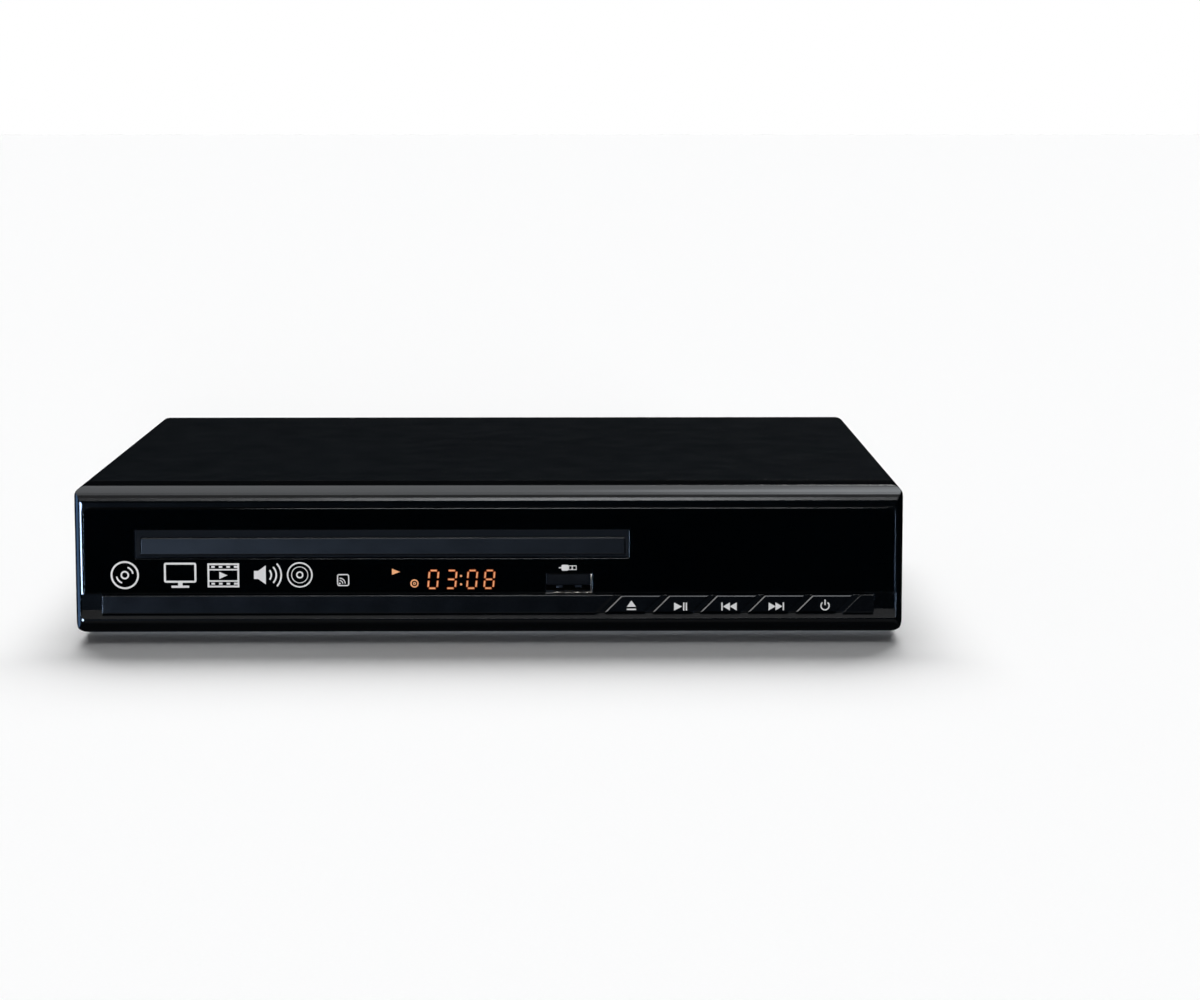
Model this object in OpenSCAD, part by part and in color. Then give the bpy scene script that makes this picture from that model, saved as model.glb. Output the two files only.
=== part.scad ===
// Compact disc player with a motor-driven loading tray.
// Millimetres, +Z up, the front faces -Y, and z = 0 is the surface that it stands on.

/* [Case] */
// Width of the case and of the front bezel
body_w = 225; // [224:0.5:232]
// Height of the case without its feet
body_h = 40; // [39.5:0.5:46]
// Depth from the bezel's face to the outside of the rear panel
body_d = 189.5; // [188.5:0.5:196]
// Height of the rubber feet below the case
foot_h = 3; // [2:0.5:8]
// Thickness of the sheet steel
sheet_t = 0.8; // [0.6:0.1:1]
// Radius of the case's long edges
corner_r = 3; // [2:0.5:4]

/* [Front] */
// Depth of the moulded bezel
bezel_d = 15; // [14:0.5:18]
// Height and depth of the bevel along the bezel's top
bevel_top = [3.9, 3.5]; // [2:0.1:5]
// Height and depth of the bevel along the bezel's bottom
bevel_foot = [3.8, 2.6]; // [2:0.1:5]
// Width and depth of the bevel down each side
bevel_side = [2.1, 3]; // [1:0.1:4]
// Width of the glossy fascia panel
panel_w = 220.4; // [219:0.2:220.6]
// Lower and upper edge of the fascia panel
panel_z = [13.6, 37.5]; // [13:0.1:38]
// Thickness of the fascia panel
panel_t = 2; // [1.6:0.1:2.2]

/* [Keys] */
// Distance from one key to the next
key_pitch = 13; // [12.6:0.1:13.1]
// Width of a key along its top edge
key_w = 10.8; // [10:0.1:11]
// Left end of the first key's top edge
key_x = 36.1; // [35.5:0.1:37]
// How far a key goes in
key_travel = 0.5; // [0.3:0.05:0.5]

/* [Loader] */
// Middle line of the tray, to the left of the case's middle
tray_x = -28.8; // [-29.2:0.1:-28.4]
// How far the tray comes out
tray_travel = 132; // [120:1:132]
// Radius of the tray's recess for a standard disc
disc_r = 60.5; // [60.2:0.1:60.7]
// Radius of the recess for a small disc
small_disc_r = 40.5; // [40.2:0.1:41]
// How far the disc motor rises to lift a disc off the tray
deck_lift = 6.7; // [6.3:0.1:6.7]
// Module of the loading gears' teeth
gear_m = 0.8; // [0.8:0.1:0.8]
// Play between meshing teeth
gear_play = 0.12; // [0.1:0.01:0.2]

/* [Rear] */
// How far the phono jacks stand out of the rear panel
jack_out = 8.5; // [7:0.5:9]
// Outer radius of a phono jack's sleeve
jack_r = 4.15; // [4.1:0.01:4.2]
// Distance between neighbouring phono jacks
jack_pitch = 12.7; // [12.5:0.1:13]

/* [Hidden] */
$fn = 48;
cut = 1; // how far a cutter stands out of what it cuts
arc_steps = 6;
front_y = -(body_d + jack_out) / 2;
rear_y = front_y + body_d;
floor_z = foot_h;
top_z = foot_h + body_h;
half_w = body_w / 2;
seam_y = front_y + bezel_d;
wall = 2; // thickness of the bezel's moulded walls
face_back = front_y + 3.6;
ledge_y = front_y + 0.1 + panel_t;
port_x = 21.6;
port_z = 16.5;
port_half = [6.55, 2.8];
port_depth = 12.4;
port_shell_t = 0.3;
opening_x = [tray_x - 67.4, tray_x + 66.8];
opening_z = [23.4, 31.3];
strip_x = [-105.2, 104.6];
strip_z = [8.4, 13.3];
board_y = [front_y + 8.4, front_y + 10];
disc_y = -30;
tray_y = [-93, 82];
tray_half = 61.5;
flange_half = 65.5;
tray_z = [26, 30.2];
loader_half = 72.2;
loader_y = [-84, 84.5];
rack_y = [-88, 70];
pivot = [58, 20];
tilt = asin(deck_lift / (pivot[0] - disc_y));
gear_at = [19, -66];
pinion_teeth = 14;
wheel_teeth = 36;
pulley_teeth = 12;
mesh_a = 198;
press_a = 20;
mesh_r = gear_m * (wheel_teeth + pulley_teeth) / 2;
pulley_at = gear_at + mesh_r * [cos(mesh_a), sin(mesh_a)];
motor_at = [-26, -73.5];
pulley_r = 10.5;
motor_pulley_r = 3;
slider_y = [-60.5, -57.5];
peg_x = tray_x - 27;
bay_x = [46, 110];
board_z = [9, 10.6];
key_slant = strip_z[1] - strip_z[0];

// ---- Shapes that repeat ----

// Points of an arc about (cx, cy) from angle a0 to a1
function arc(cx, cy, r, a0, a1, steps = arc_steps) =
    [for (i = [0 : steps]) let (a = a0 + (a1 - a0) * i / steps) [cx + r * cos(a), cy + r * sin(a)]];

// Outline of a rectangle, from its ranges along the two axes, with corners of radius r
function rounded(u, v, r) = concat(
    arc(u[1] - r, v[1] - r, r, 0, 90), arc(u[0] + r, v[1] - r, r, 90, 180),
    arc(u[0] + r, v[0] + r, r, 180, 270), arc(u[1] - r, v[0] + r, r, 270, 360));

// Points from p to q along a shallow crown that stands s out to the right of the way
function crown(p, q, s, steps = arc_steps) =
    let (d = q - p, out = [d[1], -d[0]] / norm(d))
    [for (i = [0 : steps]) let (t = i / steps) p + d * t + out * s * 4 * t * (1 - t)];

// A range about a middle
function about(middle, half) = [middle - half, middle + half];

// A range widened by e at both ends
function grown(range, e) = [range[0] - e, range[1] + e];

module box(x, y, z)
    translate([x[0], y[0], z[0]])
        cube([x[1] - x[0], y[1] - y[0], z[1] - z[0]]);

// An outline in X and Z, drawn out along Y
module along_y(points, y)
    translate([0, y[1], 0])
        rotate([90, 0, 0])
            linear_extrude(y[1] - y[0])
                polygon(points);

// An outline in Y and Z, drawn out along X
module along_x(points, x)
    translate([x[0], 0, 0])
        rotate([90, 0, 90])
            linear_extrude(x[1] - x[0])
                polygon(points);

// An outline in X and Y, drawn out along Z
module along_z(points, z)
    translate([0, 0, z[0]])
        linear_extrude(z[1] - z[0])
            polygon(points);

// An upright round bar or disc
module disc(at, r, z)
    translate([at[0], at[1], z[0]])
        cylinder(r = r, h = z[1] - z[0]);

// A round bar along Y
module rod_y(at, r, y)
    translate([at[0], y[1], at[1]])
        rotate([90, 0, 0])
            cylinder(r = r, h = y[1] - y[0]);

// A round bar along X, at a Y and a Z
module rod_x(at, r, x)
    translate([x[0], at[0], at[1]])
        rotate([0, 90, 0])
            cylinder(r = r, h = x[1] - x[0]);

// A plate in X and Z whose corners are rounded and whose front edges are bevelled by b
module faced_plate(x, y, z, r, b)
    intersection() {
        along_y(rounded(x, z, r), y);
        along_x([[y[1], z[0]], [y[1], z[1]], [y[0] + b, z[1]], [y[0], z[1] - b], [y[0], z[0] + b],
            [y[0] + b, z[0]]], grown(x, cut));
        along_z([[x[0], y[1]], [x[0], y[0] + b], [x[0] + b, y[0]], [x[1] - b, y[0]], [x[1], y[0] + b],
            [x[1], y[1]]], grown(z, cut));
    }

// What the deck carries, turned from its playing place to its lowered rest about the rear pins
module lowered()
    translate([0, pivot[0], pivot[1]])
        rotate([tilt, 0, 0])
            translate([0, -pivot[0], -pivot[1]])
                children();

// A cheese-head screw that points down, under its head's top at z
module screw(at, z, head_r, shank_r, length)
    difference() {
        union() {
            disc(at, head_r, [z - head_r / 2, z]);
            disc(at, shank_r, [z - length, z]);
        }
        box(about(at[0], head_r), about(at[1], head_r / 8), [z - head_r / 4, z + cut]);
    }

// ---- Gear teeth ----

// The involute of an angle, in degrees
function inv(a) = tan(a) * 180 / PI - a;

// Half the angle of a tooth at radius r, on a gear of n teeth
function half_tooth(n, r) =
    let (pitch_r = gear_m * n / 2, base_r = pitch_r * cos(press_a))
    90 / n - gear_play / 4 / pitch_r * 180 / PI + inv(press_a) - inv(acos(min(1, base_r / r)));

// Outline of a spur gear of n stub teeth, one of them at angle a
function gear_outline(n, a = 0) =
    let (
        pitch_r = gear_m * n / 2,
        base_r = pitch_r * cos(press_a),
        root_r = pitch_r - gear_m,
        tip_r = pitch_r + 0.7 * gear_m,
        start_r = max(base_r, root_r),
        radii = concat([root_r], [for (i = [0 : 3]) start_r + (tip_r - start_r) * i / 3 + 0.001])
    )
    [for (k = [0 : n - 1]) each concat(
        [for (r = radii) let (b = a + 360 * k / n - half_tooth(n, max(r, start_r))) r * [cos(b), sin(b)]],
        [for (i = [0 : 4]) let (r = radii[4 - i], b = a + 360 * k / n + half_tooth(n, max(r, start_r)))
            r * [cos(b), sin(b)]])];

module gear(at, n, z, a = 0)
    translate([at[0], at[1], z[0]])
        linear_extrude(z[1] - z[0])
            polygon(gear_outline(n, a));

// ---- Case ----

module bottom_pan() {
    inside = half_w - sheet_t - 0.1;
    flange_h = 12;
    front_flange_h = 9;
    slot = [24, 2.4];
    slot_pitch = 6;
    foot_rib = 1;
    color("silver")
    difference() {
        union() {
            box(about(0, inside), [seam_y + 0.1, rear_y - 0.1], [floor_z, floor_z + sheet_t]);
            for (side = [-1, 1])
                box(about(side * (inside - sheet_t / 2), sheet_t / 2), [seam_y + 3.2, rear_y - 2 * sheet_t - 0.2],
                    [floor_z, floor_z + flange_h]);
            // the front edge is folded up on both sides of the loader
            for (x = [[-inside + 2, tray_x - loader_half - 2], [bay_x[0], inside - 2]])
                box(x, [seam_y + 3.2, seam_y + 3.2 + sheet_t], [floor_z, floor_z + front_flange_h]);
            // pressed ribs that stiffen the floor
            for (y = [-40, 0, 40])
                box(about(0, inside - 12), about(y, 1.6), [floor_z, floor_z + sheet_t + foot_rib]);
        }
        // cooling slots under the boards and under the loader
        for (x = [-70, 30, 92])
            for (row = [-2 : 2])
                for (y = [-20, 20])
                    box(about(x, slot[0] / 2), about(y + row * slot_pitch, slot[1] / 2),
                        [floor_z - cut, floor_z + flange_h]);
        for (foot = foot_places())
            disc(foot, 1.6, [floor_z - cut, floor_z + flange_h]);
        for (y = side_screws)
            rod_x([y, side_screw_z], 1.22, about(0, body_w));
    }
}

side_screws = [-60, 70];
side_screw_z = floor_z + 8;
function foot_places() = [for (x = [-90, 90]) for (y = [-67, 72]) [x, y]];

module rear_panel() {
    inside = half_w - sheet_t - 0.4;
    color("dimgray")
    difference() {
        union() {
            along_y(rounded(about(0, inside), [floor_z + sheet_t, top_z - sheet_t - 0.1], corner_r - 0.5),
                [rear_y - 2 * sheet_t, rear_y - sheet_t]);
            box(about(0, inside - 3), [rear_y - 2 * sheet_t - 8, rear_y - sheet_t],
                [floor_z + sheet_t, floor_z + 2 * sheet_t]);
        }
        for (at = jack_places())
            rod_y(at, jack_r + 0.8, [rear_y - 3, rear_y + cut]);
        along_y(rounded(grown(socket_x, 0.3), grown(socket_z, 0.3), 0.6), [rear_y - 3, rear_y + cut]);
        along_y(rounded(grown(inlet_x, 0.3), grown(inlet_z, 0.3), 1), [rear_y - 3, rear_y + cut]);
        // vents, in two blocks of upright slots
        for (x = [-84 : 5 : 20])
            box(about(x, 1.2), [rear_y - 3, rear_y + cut], [16, 34]);
        for (at = concat(cover_holes, [for (x = panel_screws) [x, 8.6]]))
            rod_y(at, 1.3, [rear_y - 3, rear_y + cut]);
    }
}

panel_screws = [-100, -40, 30];
cover_holes = [[-92, 38.5], [34, 38.5], [104, 38.5]];
socket_x = [44.6, 59.6];
socket_z = [11.6, 17.2];
inlet_x = [87.6, 108.4];
inlet_z = [13, 24.4];
jack_seat_r = 3.8; // radius of the part of a sleeve that sits in the housing
function jack_places() =
    [for (x = [66.8, 66.8 + jack_pitch]) for (z = [17.6, 17.6 + jack_pitch]) [x, z]];

module top_cover() {
    outer = rounded(about(0, half_w), [floor_z - corner_r, top_z], corner_r);
    inner_r = corner_r - sheet_t;
    inner = rounded(about(0, half_w - sheet_t), [floor_z - corner_r - cut, top_z - sheet_t], inner_r);
    cover_y = [seam_y, rear_y];
    vent = [2.2, 16];
    color([0.05, 0.06, 0.07])
    difference() {
        union() {
            difference() {
                along_y(outer, cover_y);
                along_y(inner, grown(cover_y, cut));
                box(about(0, body_w), grown(cover_y, cut), [floor_z - 2 * corner_r, floor_z]);
            }
            // the rear edge is folded down behind the top
            box(about(0, half_w - corner_r), [rear_y - sheet_t, rear_y], [top_z - 7, top_z - sheet_t / 2]);
        }
        for (side = [-1, 1])
            for (y = [20 : 5 : 70])
                box(about(side * half_w, corner_r), about(y, vent[0] / 2), about(floor_z + body_h / 2, vent[1] / 2));
        for (hole = cover_holes)
            rod_y(hole, 1.3, [rear_y - 3, rear_y + cut]);
        for (y = side_screws)
            rod_x([y, side_screw_z], 1.5, about(0, body_w));
    }
}

module rubber_feet() {
    foot_r = 8;
    color([0.08, 0.08, 0.08])
    for (foot = foot_places())
        translate([foot[0], foot[1], 0])
            rotate_extrude()
                polygon([[0, 0.6], [3.4, 0.6], [3.8, 0], [foot_r - 1.4, 0], [foot_r - 0.7, 0.5], [foot_r, foot_h],
                    [1.5, foot_h], [1.5, foot_h + sheet_t], [0, foot_h + sheet_t]]);
}

// ---- Front ----

// Side profile of the bezel, in Y and Z, with crowned bevels and softened edges
function bezel_profile() =
    let (
        soft = 0.35,
        low = floor_z + bevel_foot[0],
        high = top_z - bevel_top[0]
    )
    concat(
        [[seam_y, floor_z]],
        crown([front_y + bevel_foot[1], floor_z], [front_y, low - soft], -0.25),
        [[front_y, low + soft], [front_y, high - soft]],
        crown([front_y + soft / 3, high + soft / 2], [front_y + bevel_top[1], top_z], -0.3),
        [[seam_y, top_z]]);

// Plan of the bezel, in X and Y
function bezel_plan() =
    let (soft = 0.3, x = half_w, c = bevel_side[0], d = bevel_side[1])
    concat(
        [[-x, seam_y]],
        crown([-x, front_y + d], [-x + c - soft, front_y + soft / 3], 0.2),
        [[-x + c + soft, front_y], [x - c - soft, front_y]],
        crown([x - c + soft, front_y + soft / 3], [x, front_y + d], 0.2),
        [[x, seam_y]]);

module bezel_block()
    intersection() {
        along_x(bezel_profile(), about(0, half_w + cut));
        along_z(bezel_plan(), [floor_z - cut, top_z + cut]);
        along_y(rounded(about(0, half_w), [floor_z, top_z], corner_r), [front_y - cut, seam_y + cut]);
    }

board_bosses = [[-36.5, 18], [35, 18], [104, 18]];

module front_bezel() {
    groove_back = front_y + 1.6;
    groove_x = [-110.9, 110.6];
    lip = 1.2;
    lip_len = 2.6;
    inset = sheet_t + 0.15;
    inner = rounded(about(0, half_w - wall), [floor_z + wall, top_z - wall], 1.4);
    color([0.04, 0.04, 0.05]) {
        difference() {
            union() {
                difference() {
                    bezel_block();
                    along_y(inner, [face_back, seam_y + cut]);
                }
                // rim that the cover slides over
                difference() {
                    along_y(rounded(about(0, half_w - inset), [floor_z + wall, top_z - inset], corner_r - inset),
                        [seam_y - cut, seam_y + lip_len]);
                    along_y(rounded(about(0, half_w - inset - lip), [floor_z - wall, top_z - inset - lip], 1),
                        [seam_y - 2 * cut, seam_y + lip_len + cut]);
                }
                for (boss = board_bosses)
                    rod_y(boss, 2.6, [face_back - cut, board_y[0]]);
                // upright ribs that stiffen the face above the tray opening
                for (x = [-90 : 20 : 90])
                    box(about(x, 0.6), [face_back - cut, seam_y - 2], [top_z - wall - 3.4, top_z - 1]);
            }
            // seat of the fascia panel
            along_y(rounded(about(0, panel_w / 2), panel_z, 1.2), [front_y - cut, ledge_y]);
            // groove round the key strip, with its sloping sill
            along_x([[front_y - cut, panel_z[0] + 0.1], [groove_back, panel_z[0] + 0.1], [groove_back, 9.2],
                [front_y, 6.95], [front_y - cut, 6.95]], groove_x);
            // seat of the key strip, and the slot behind it that the keys reach through
            box(grown(strip_x, 0.1), [front_y - cut, rail_y[1]], grown(strip_z, 0.1));
            box([key_x - key_slant - 1, key_x + 5 * key_pitch], [front_y - cut, face_back + cut],
                grown(key_stem_z, 0.8));
            box(opening_x, [front_y - cut, face_back + cut], opening_z);
            // windows for the display, the infrared receiver and the port
            box([-31, 6.4], [front_y - cut, face_back + cut], [14.3, 22.6]);
            rod_y([60, 18], 2.6, [front_y - cut, face_back + cut]);
            box(about(port_x, 6.2), [front_y - cut, face_back + cut], [panel_z[0] + 0.25, 19.1]);
            for (boss = board_bosses)
                rod_y(boss, 0.9, [face_back + 0.4, board_y[0] + cut]);
        }
    }
}

module fascia_panel() {
    gap = 0.15;
    y = [front_y + 0.1, ledge_y];
    color([0.01, 0.01, 0.012])
    difference() {
        faced_plate(about(0, panel_w / 2 - gap), y, grown(panel_z, -gap), 1.1, 0.25);
        along_y(rounded(opening_x, opening_z, 0.5), grown(y, cut));
        box(about(port_x, 6.4), grown(y, cut), [panel_z[0] - cut, 19.3]);
    }
}

// Outline of a key's face in X and Z: its ends slope at 45 degrees
function key_outline(k, z, grow) =
    let (x = key_x + k * key_pitch, lean = strip_z[1] - z[1], drop = z[1] - z[0])
    [[x - lean - grow, z[1]], [x - lean + key_w + grow, z[1]],
        [x - lean - drop + key_w + grow, z[0]], [x - lean - drop - grow, z[0]]];

key_face_z = [strip_z[0] + 0.15, strip_z[1] - 0.15];
key_stem_z = [9.6, 12.1];
rail_y = [front_y + 0.8, front_y + 2.8];
web_y = front_y + 1.8;

module key_rail() {
    color([0.12, 0.14, 0.17])
    difference() {
        union() {
            box(strip_x, rail_y, strip_z);
            // raised ends of the strip, cut off at the keys' slope
            along_y([[strip_x[0], strip_z[0]], [strip_x[0], strip_z[1]], [key_x - 2.2, strip_z[1]],
                [key_x - 2.2 - key_slant, strip_z[0]]], [front_y + 0.15, rail_y[0] + 0.2]);
            along_y([[key_x + 5 * key_pitch, strip_z[1]], [strip_x[1], strip_z[1]], [strip_x[1], strip_z[0]],
                [key_x + 5 * key_pitch - key_slant, strip_z[0]]], [front_y + 0.15, rail_y[0] + 0.2]);
        }
        for (k = [0 : 4]) {
            along_y(key_outline(k, grown(strip_z, 0.2), 0.15), [front_y - cut, web_y]);
            along_y(key_outline(k, grown(key_stem_z, 0.15), -0.85), grown(rail_y, cut));
        }
    }
}

module key(k) {
    stop = 0.6;
    color([0.12, 0.14, 0.17]) {
        along_y(key_outline(k, key_face_z, 0), [front_y + 0.05, web_y - key_travel - 0.05]);
        along_y(key_outline(k, key_stem_z, -1), [front_y + 1, rail_y[1] + 0.15]);
        along_y(key_outline(k, grown(key_stem_z, stop), -1 + stop), [rail_y[1] + 0.1, rail_y[1] + 0.7]);
    }
}

module key_open() key(0);
module key_play() key(1);
module key_previous() key(2);
module key_next() key(3);
module key_power() key(4);

function key_middle(k) = key_x + k * key_pitch + key_w / 2 - key_slant / 2;

module tact_switches() {
    body_half = 3;
    middle_z = (strip_z[0] + strip_z[1]) / 2;
    color("gray")
    for (k = [0 : 4]) {
        box(about(key_middle(k), body_half), [board_y[0] - 3.5, board_y[0]], about(middle_z, body_half));
        rod_y([key_middle(k), middle_z], 1.75, [board_y[0] - 4.3, board_y[0] - 3.4]);
    }
}

module front_board() {
    color("darkgreen")
    difference() {
        box([-40, 108], board_y, [5.2, 22.6]);
        box(about(port_x, port_half[0]), grown(board_y, cut), about(port_z, port_half[1]));
        for (boss = board_bosses)
            rod_y(boss, 1.2, grown(board_y, cut));
    }
}

module display_module() {
    glass_y = front_y + 2.7;
    digit = [3.4, 5.6];
    color([0.06, 0.05, 0.05])
    difference() {
        box([-30.4, 5.8], [glass_y, board_y[0]], [14.8, 22.2]);
        // windows of the four digits, their colon and the play mark
        for (x = [-15.2, -10.3, -4.7, 0.1])
            box(about(x, digit[0] / 2), [glass_y - cut, glass_y + 0.4], [15, 15 + digit[1]]);
        box(about(-7.5, 0.5), [glass_y - cut, glass_y + 0.4], [16, 20]);
        box(about(-25.3, 1.4), [glass_y - cut, glass_y + 0.4], about(19.8, 1.4));
    }
}

module ir_receiver() {
    color([0.05, 0.02, 0.03]) {
        box(about(60, 3.4), [board_y[0] - 3.2, board_y[0]], about(18, 3.4));
        difference() {
            rod_y([60, 18], 2.3, [board_y[0] - 5.4, board_y[0] - 3]);
            rod_y([60, 18], 1.6, [board_y[0] - 5.4 - cut, board_y[0] - 5]);
        }
    }
}

module port_shell() {
    y = [face_back + 0.1, face_back + port_depth];
    color("silver")
    difference() {
        along_y(rounded(about(port_x, port_half[0]), about(port_z, port_half[1]), 0.5), y);
        along_y(rounded(about(port_x, port_half[0] - port_shell_t), about(port_z, port_half[1] - port_shell_t), 0.3),
            [y[0] - cut, y[1] - port_shell_t]);
        // sprung contacts cut in the top and bottom of the shell
        for (x = [-2.6, 2.6])
            box(about(port_x + x, 0.9), [y[1] - 7, y[1] - 3], about(port_z, port_half[1] + cut));
    }
}

module port_tongue() {
    back = face_back + port_depth - port_shell_t;
    color("white") {
        box(about(port_x, 6.1), [back - 2, back], about(port_z, 2.35));
        box(about(port_x, 5.6), [face_back + 2.2, back - 1], [port_z - 0.1, port_z + 1.7]);
    }
}

// ---- Tray ----

module disc_tray() {
    recess_z = 27.9;
    small_z = 27.0;
    flange_z = 28;
    tail_z = 28;
    rear_rim = disc_y + disc_r + 2.5;
    slot_half = 14;
    hub_r = 19;
    rib_t = 1.2;
    groove_half = 1.9;
    low = 23.7;
    stop_y = slider_y[1] - 1.5 + tray_travel + 1.6;
    color([0.07, 0.07, 0.08]) {
        difference() {
            union() {
                along_z(rounded(about(tray_x, tray_half), [tray_y[0], rear_rim], 3), tray_z);
                // side flanges that run in the frame, and the thin tail that stays in it
                box(about(tray_x, flange_half), [tray_y[0] + 6, tray_y[1]], [tray_z[0], flange_z]);
                for (x = [-45, -15, 15, 45])
                    box(about(tray_x + x, 0.7), [rear_rim - 1, tray_y[1] - 1], [tail_z - 0.5, tray_z[1] - 0.4]);
                box(about(tray_x, tray_half - 6), [tray_y[1] - 2, tray_y[1]], [tail_z - 0.5, tray_z[1] - 0.4]);
            }
            disc([tray_x, disc_y], disc_r, [recess_z, tray_z[1] + cut]);
            disc([tray_x, disc_y], small_disc_r, [small_z, tray_z[1] + cut]);
            disc([tray_x, disc_y], hub_r, grown(tray_z, cut));
            box(about(tray_x, slot_half), [disc_y, disc_y + disc_r + 7], grown(tray_z, cut));
            // finger hollows at the disc's edge
            for (side = [-1, 1])
                translate([tray_x + side * 44, disc_y - 44, recess_z])
                    cylinder(r = 9, h = cut + tray_z[1] - recess_z);
        }
        // rack along the right of the underside, its teeth facing the gear
        rack();
        // groove for the slider's peg: it holds the tray shut, and its end stops the tray when open
        for (side = [-1, 1])
            box(about(peg_x + side * (groove_half + rib_t / 2), rib_t / 2),
                [side > 0 ? slider_y[1] + 0.6 : slider_y[0] - 2.2, stop_y], [low, tray_z[0] + 0.5]);
        box(about(peg_x, groove_half + rib_t), [stop_y, stop_y + rib_t], [low, tray_z[0] + 0.5]);
        box([peg_x - groove_half - rib_t, peg_x + 18], [slider_y[0] - 3.4, slider_y[0] - 2.2], [low, tray_z[0] + 0.5]);
        box([peg_x + groove_half, peg_x + 18], [slider_y[1] + 0.6, slider_y[1] + 1.8], [low, tray_z[0] + 0.5]);
    }
}

module rack() {
    pitch = PI * gear_m;
    line_x = gear_at[0] + gear_m * pinion_teeth / 2;
    teeth = floor((rack_y[1] - rack_y[0]) / pitch) - 1;
    first = gear_at[1] + pitch / 2 - pitch * floor((gear_at[1] - rack_y[0]) / pitch);
    root = 1.05 * gear_m;
    tip = 0.7 * gear_m;
    half = pitch / 4 - gear_play / 4;
    slope = tan(press_a);
    outline = concat(
        [[line_x + root + 2.2, rack_y[0]], [line_x + root, rack_y[0]]],
        [for (k = [0 : teeth - 1]) let (y = first + k * pitch) each [
            [line_x + root, y - half - root * slope], [line_x - tip, y - half + tip * slope],
            [line_x - tip, y + half - tip * slope], [line_x + root, y + half + root * slope]]],
        [[line_x + root, rack_y[1]], [line_x + root + 2.2, rack_y[1]]]);
    along_z(outline, [23.8, tray_z[0] + 0.5]);
}

module tray_door() {
    plate_x = grown(opening_x, -0.3);
    plate_z = grown(opening_z, -0.25);
    plateau_x = [-94.6, 37];
    plateau_z = [24.3, 29.1];
    flange_y = [front_y + 2, front_y + 3.8];
    color([0.10, 0.12, 0.16])
    difference() {
        union() {
            box(plate_x, flange_y, plate_z);
            faced_plate(plateau_x, [front_y + 1, flange_y[0] + 0.2], plateau_z, 0.4, 0.25);
            // clips that hold the door on the tray's front wall
            for (x = [-52, -18, 18, 52])
                box(about(tray_x + x, 3), [flange_y[1] - 0.2, tray_y[0]], [tray_z[0] + 0.4, tray_z[1] - 0.4]);
        }
        for (x = [-35, 0, 35])
            box(about(tray_x + x, 5), [flange_y[1] - 0.6, tray_y[0]], [25, 30]);
    }
}

// ---- Loader ----

gear_z = [13, 16];
pinion_z = [22.8, 25.6];
belt_z = [18.5, 21.5];

module drive_gear() {
    bore_r = 1.55;
    color("ivory")
    difference() {
        union() {
            gear(gear_at, wheel_teeth, gear_z, mesh_a);
            disc(gear_at, 3.6, [gear_z[0], pinion_z[0] + 0.2]);
            gear(gear_at, pinion_teeth, pinion_z);
        }
        disc(gear_at, bore_r, [gear_z[0] - cut, pinion_z[1] + cut]);
        // the web is thinned between hub and rim
        for (z = [[gear_z[0] - cut, gear_z[0] + 0.8], [gear_z[1] - 0.8, gear_z[1] + cut]])
            difference() {
                disc(gear_at, 11.6, z);
                disc(gear_at, 5.2, grown(z, cut));
            }
        for (a = [30 : 60 : 330])
            disc(gear_at + 8.4 * [cos(a), sin(a)], 2, grown(gear_z, cut));
    }
}

module pulley_gear() {
    bore_r = 1.55;
    flange_r = pulley_r + 0.6;
    color("ivory")
    difference() {
        union() {
            gear(pulley_at, pulley_teeth, gear_z, mesh_a + 180 + 180 / pulley_teeth);
            disc(pulley_at, 3.4, [gear_z[0] + 1, belt_z[1]]);
            translate([pulley_at[0], pulley_at[1], belt_z[0]])
                rotate_extrude()
                    polygon([[3, 0], [flange_r, 0], [flange_r, 0.6], [pulley_r - 0.9, 1.1], [pulley_r - 0.9, 1.9],
                        [flange_r, 2.4], [flange_r, 3], [3, 3]]);
        }
        disc(pulley_at, bore_r, [gear_z[0] - cut, belt_z[1] + cut]);
        for (a = [0 : 60 : 300])
            disc(pulley_at + 6.4 * [cos(a), sin(a)], 1.8, grown(belt_z, cut));
    }
}

module motor_pulley() {
    flange_r = motor_pulley_r + 0.9;
    color("dimgray") {
        translate([motor_at[0], motor_at[1], belt_z[0]])
            rotate_extrude()
                polygon([[0, 0], [flange_r, 0], [flange_r, 0.6], [motor_pulley_r - 0.6, 1.1],
                    [motor_pulley_r - 0.6, 1.9], [flange_r, 2.4], [flange_r, 3], [0, 3]]);
        disc(motor_at, 1, [10, belt_z[0] + 0.2]);
    }
}

// Closed outline of a belt about two pulleys, stood off their middles by r0 and r1
function belt_outline(r0, r1) =
    let (
        d = motor_at - pulley_at,
        along = atan2(d[1], d[0]),
        open = acos((r0 - r1) / norm(d)),
        steps = 24
    )
    concat(
        [for (p = arc(0, 0, r0, along + open, along + 360 - open, steps)) pulley_at + p],
        [for (p = arc(0, 0, r1, along - open, along + open, steps / 2)) motor_at + p]);

module drive_belt() {
    run = 0.8;
    belt_t = 0.7;
    middle = (belt_z[0] + belt_z[1]) / 2;
    color([0.03, 0.03, 0.03])
    difference() {
        along_z(belt_outline(pulley_r - run + belt_t, motor_pulley_r - run + 0.4 + belt_t), about(middle, 0.35));
        along_z(belt_outline(pulley_r - run, motor_pulley_r - run + 0.4), about(middle, cut));
    }
}

module loading_motor() {
    can_r = 7.5;
    z = [7, 17.2];
    color("silver")
    difference() {
        union() {
            intersection() {
                disc(motor_at, can_r, z);
                box(about(motor_at[0], can_r), about(motor_at[1], can_r - 1.3), grown(z, cut));
            }
            disc(motor_at, 2.4, [z[1] - 0.2, z[1] + 0.8]);
        }
        disc(motor_at, 1.05, [9.5, belt_z[0]]);
    }
}

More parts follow.
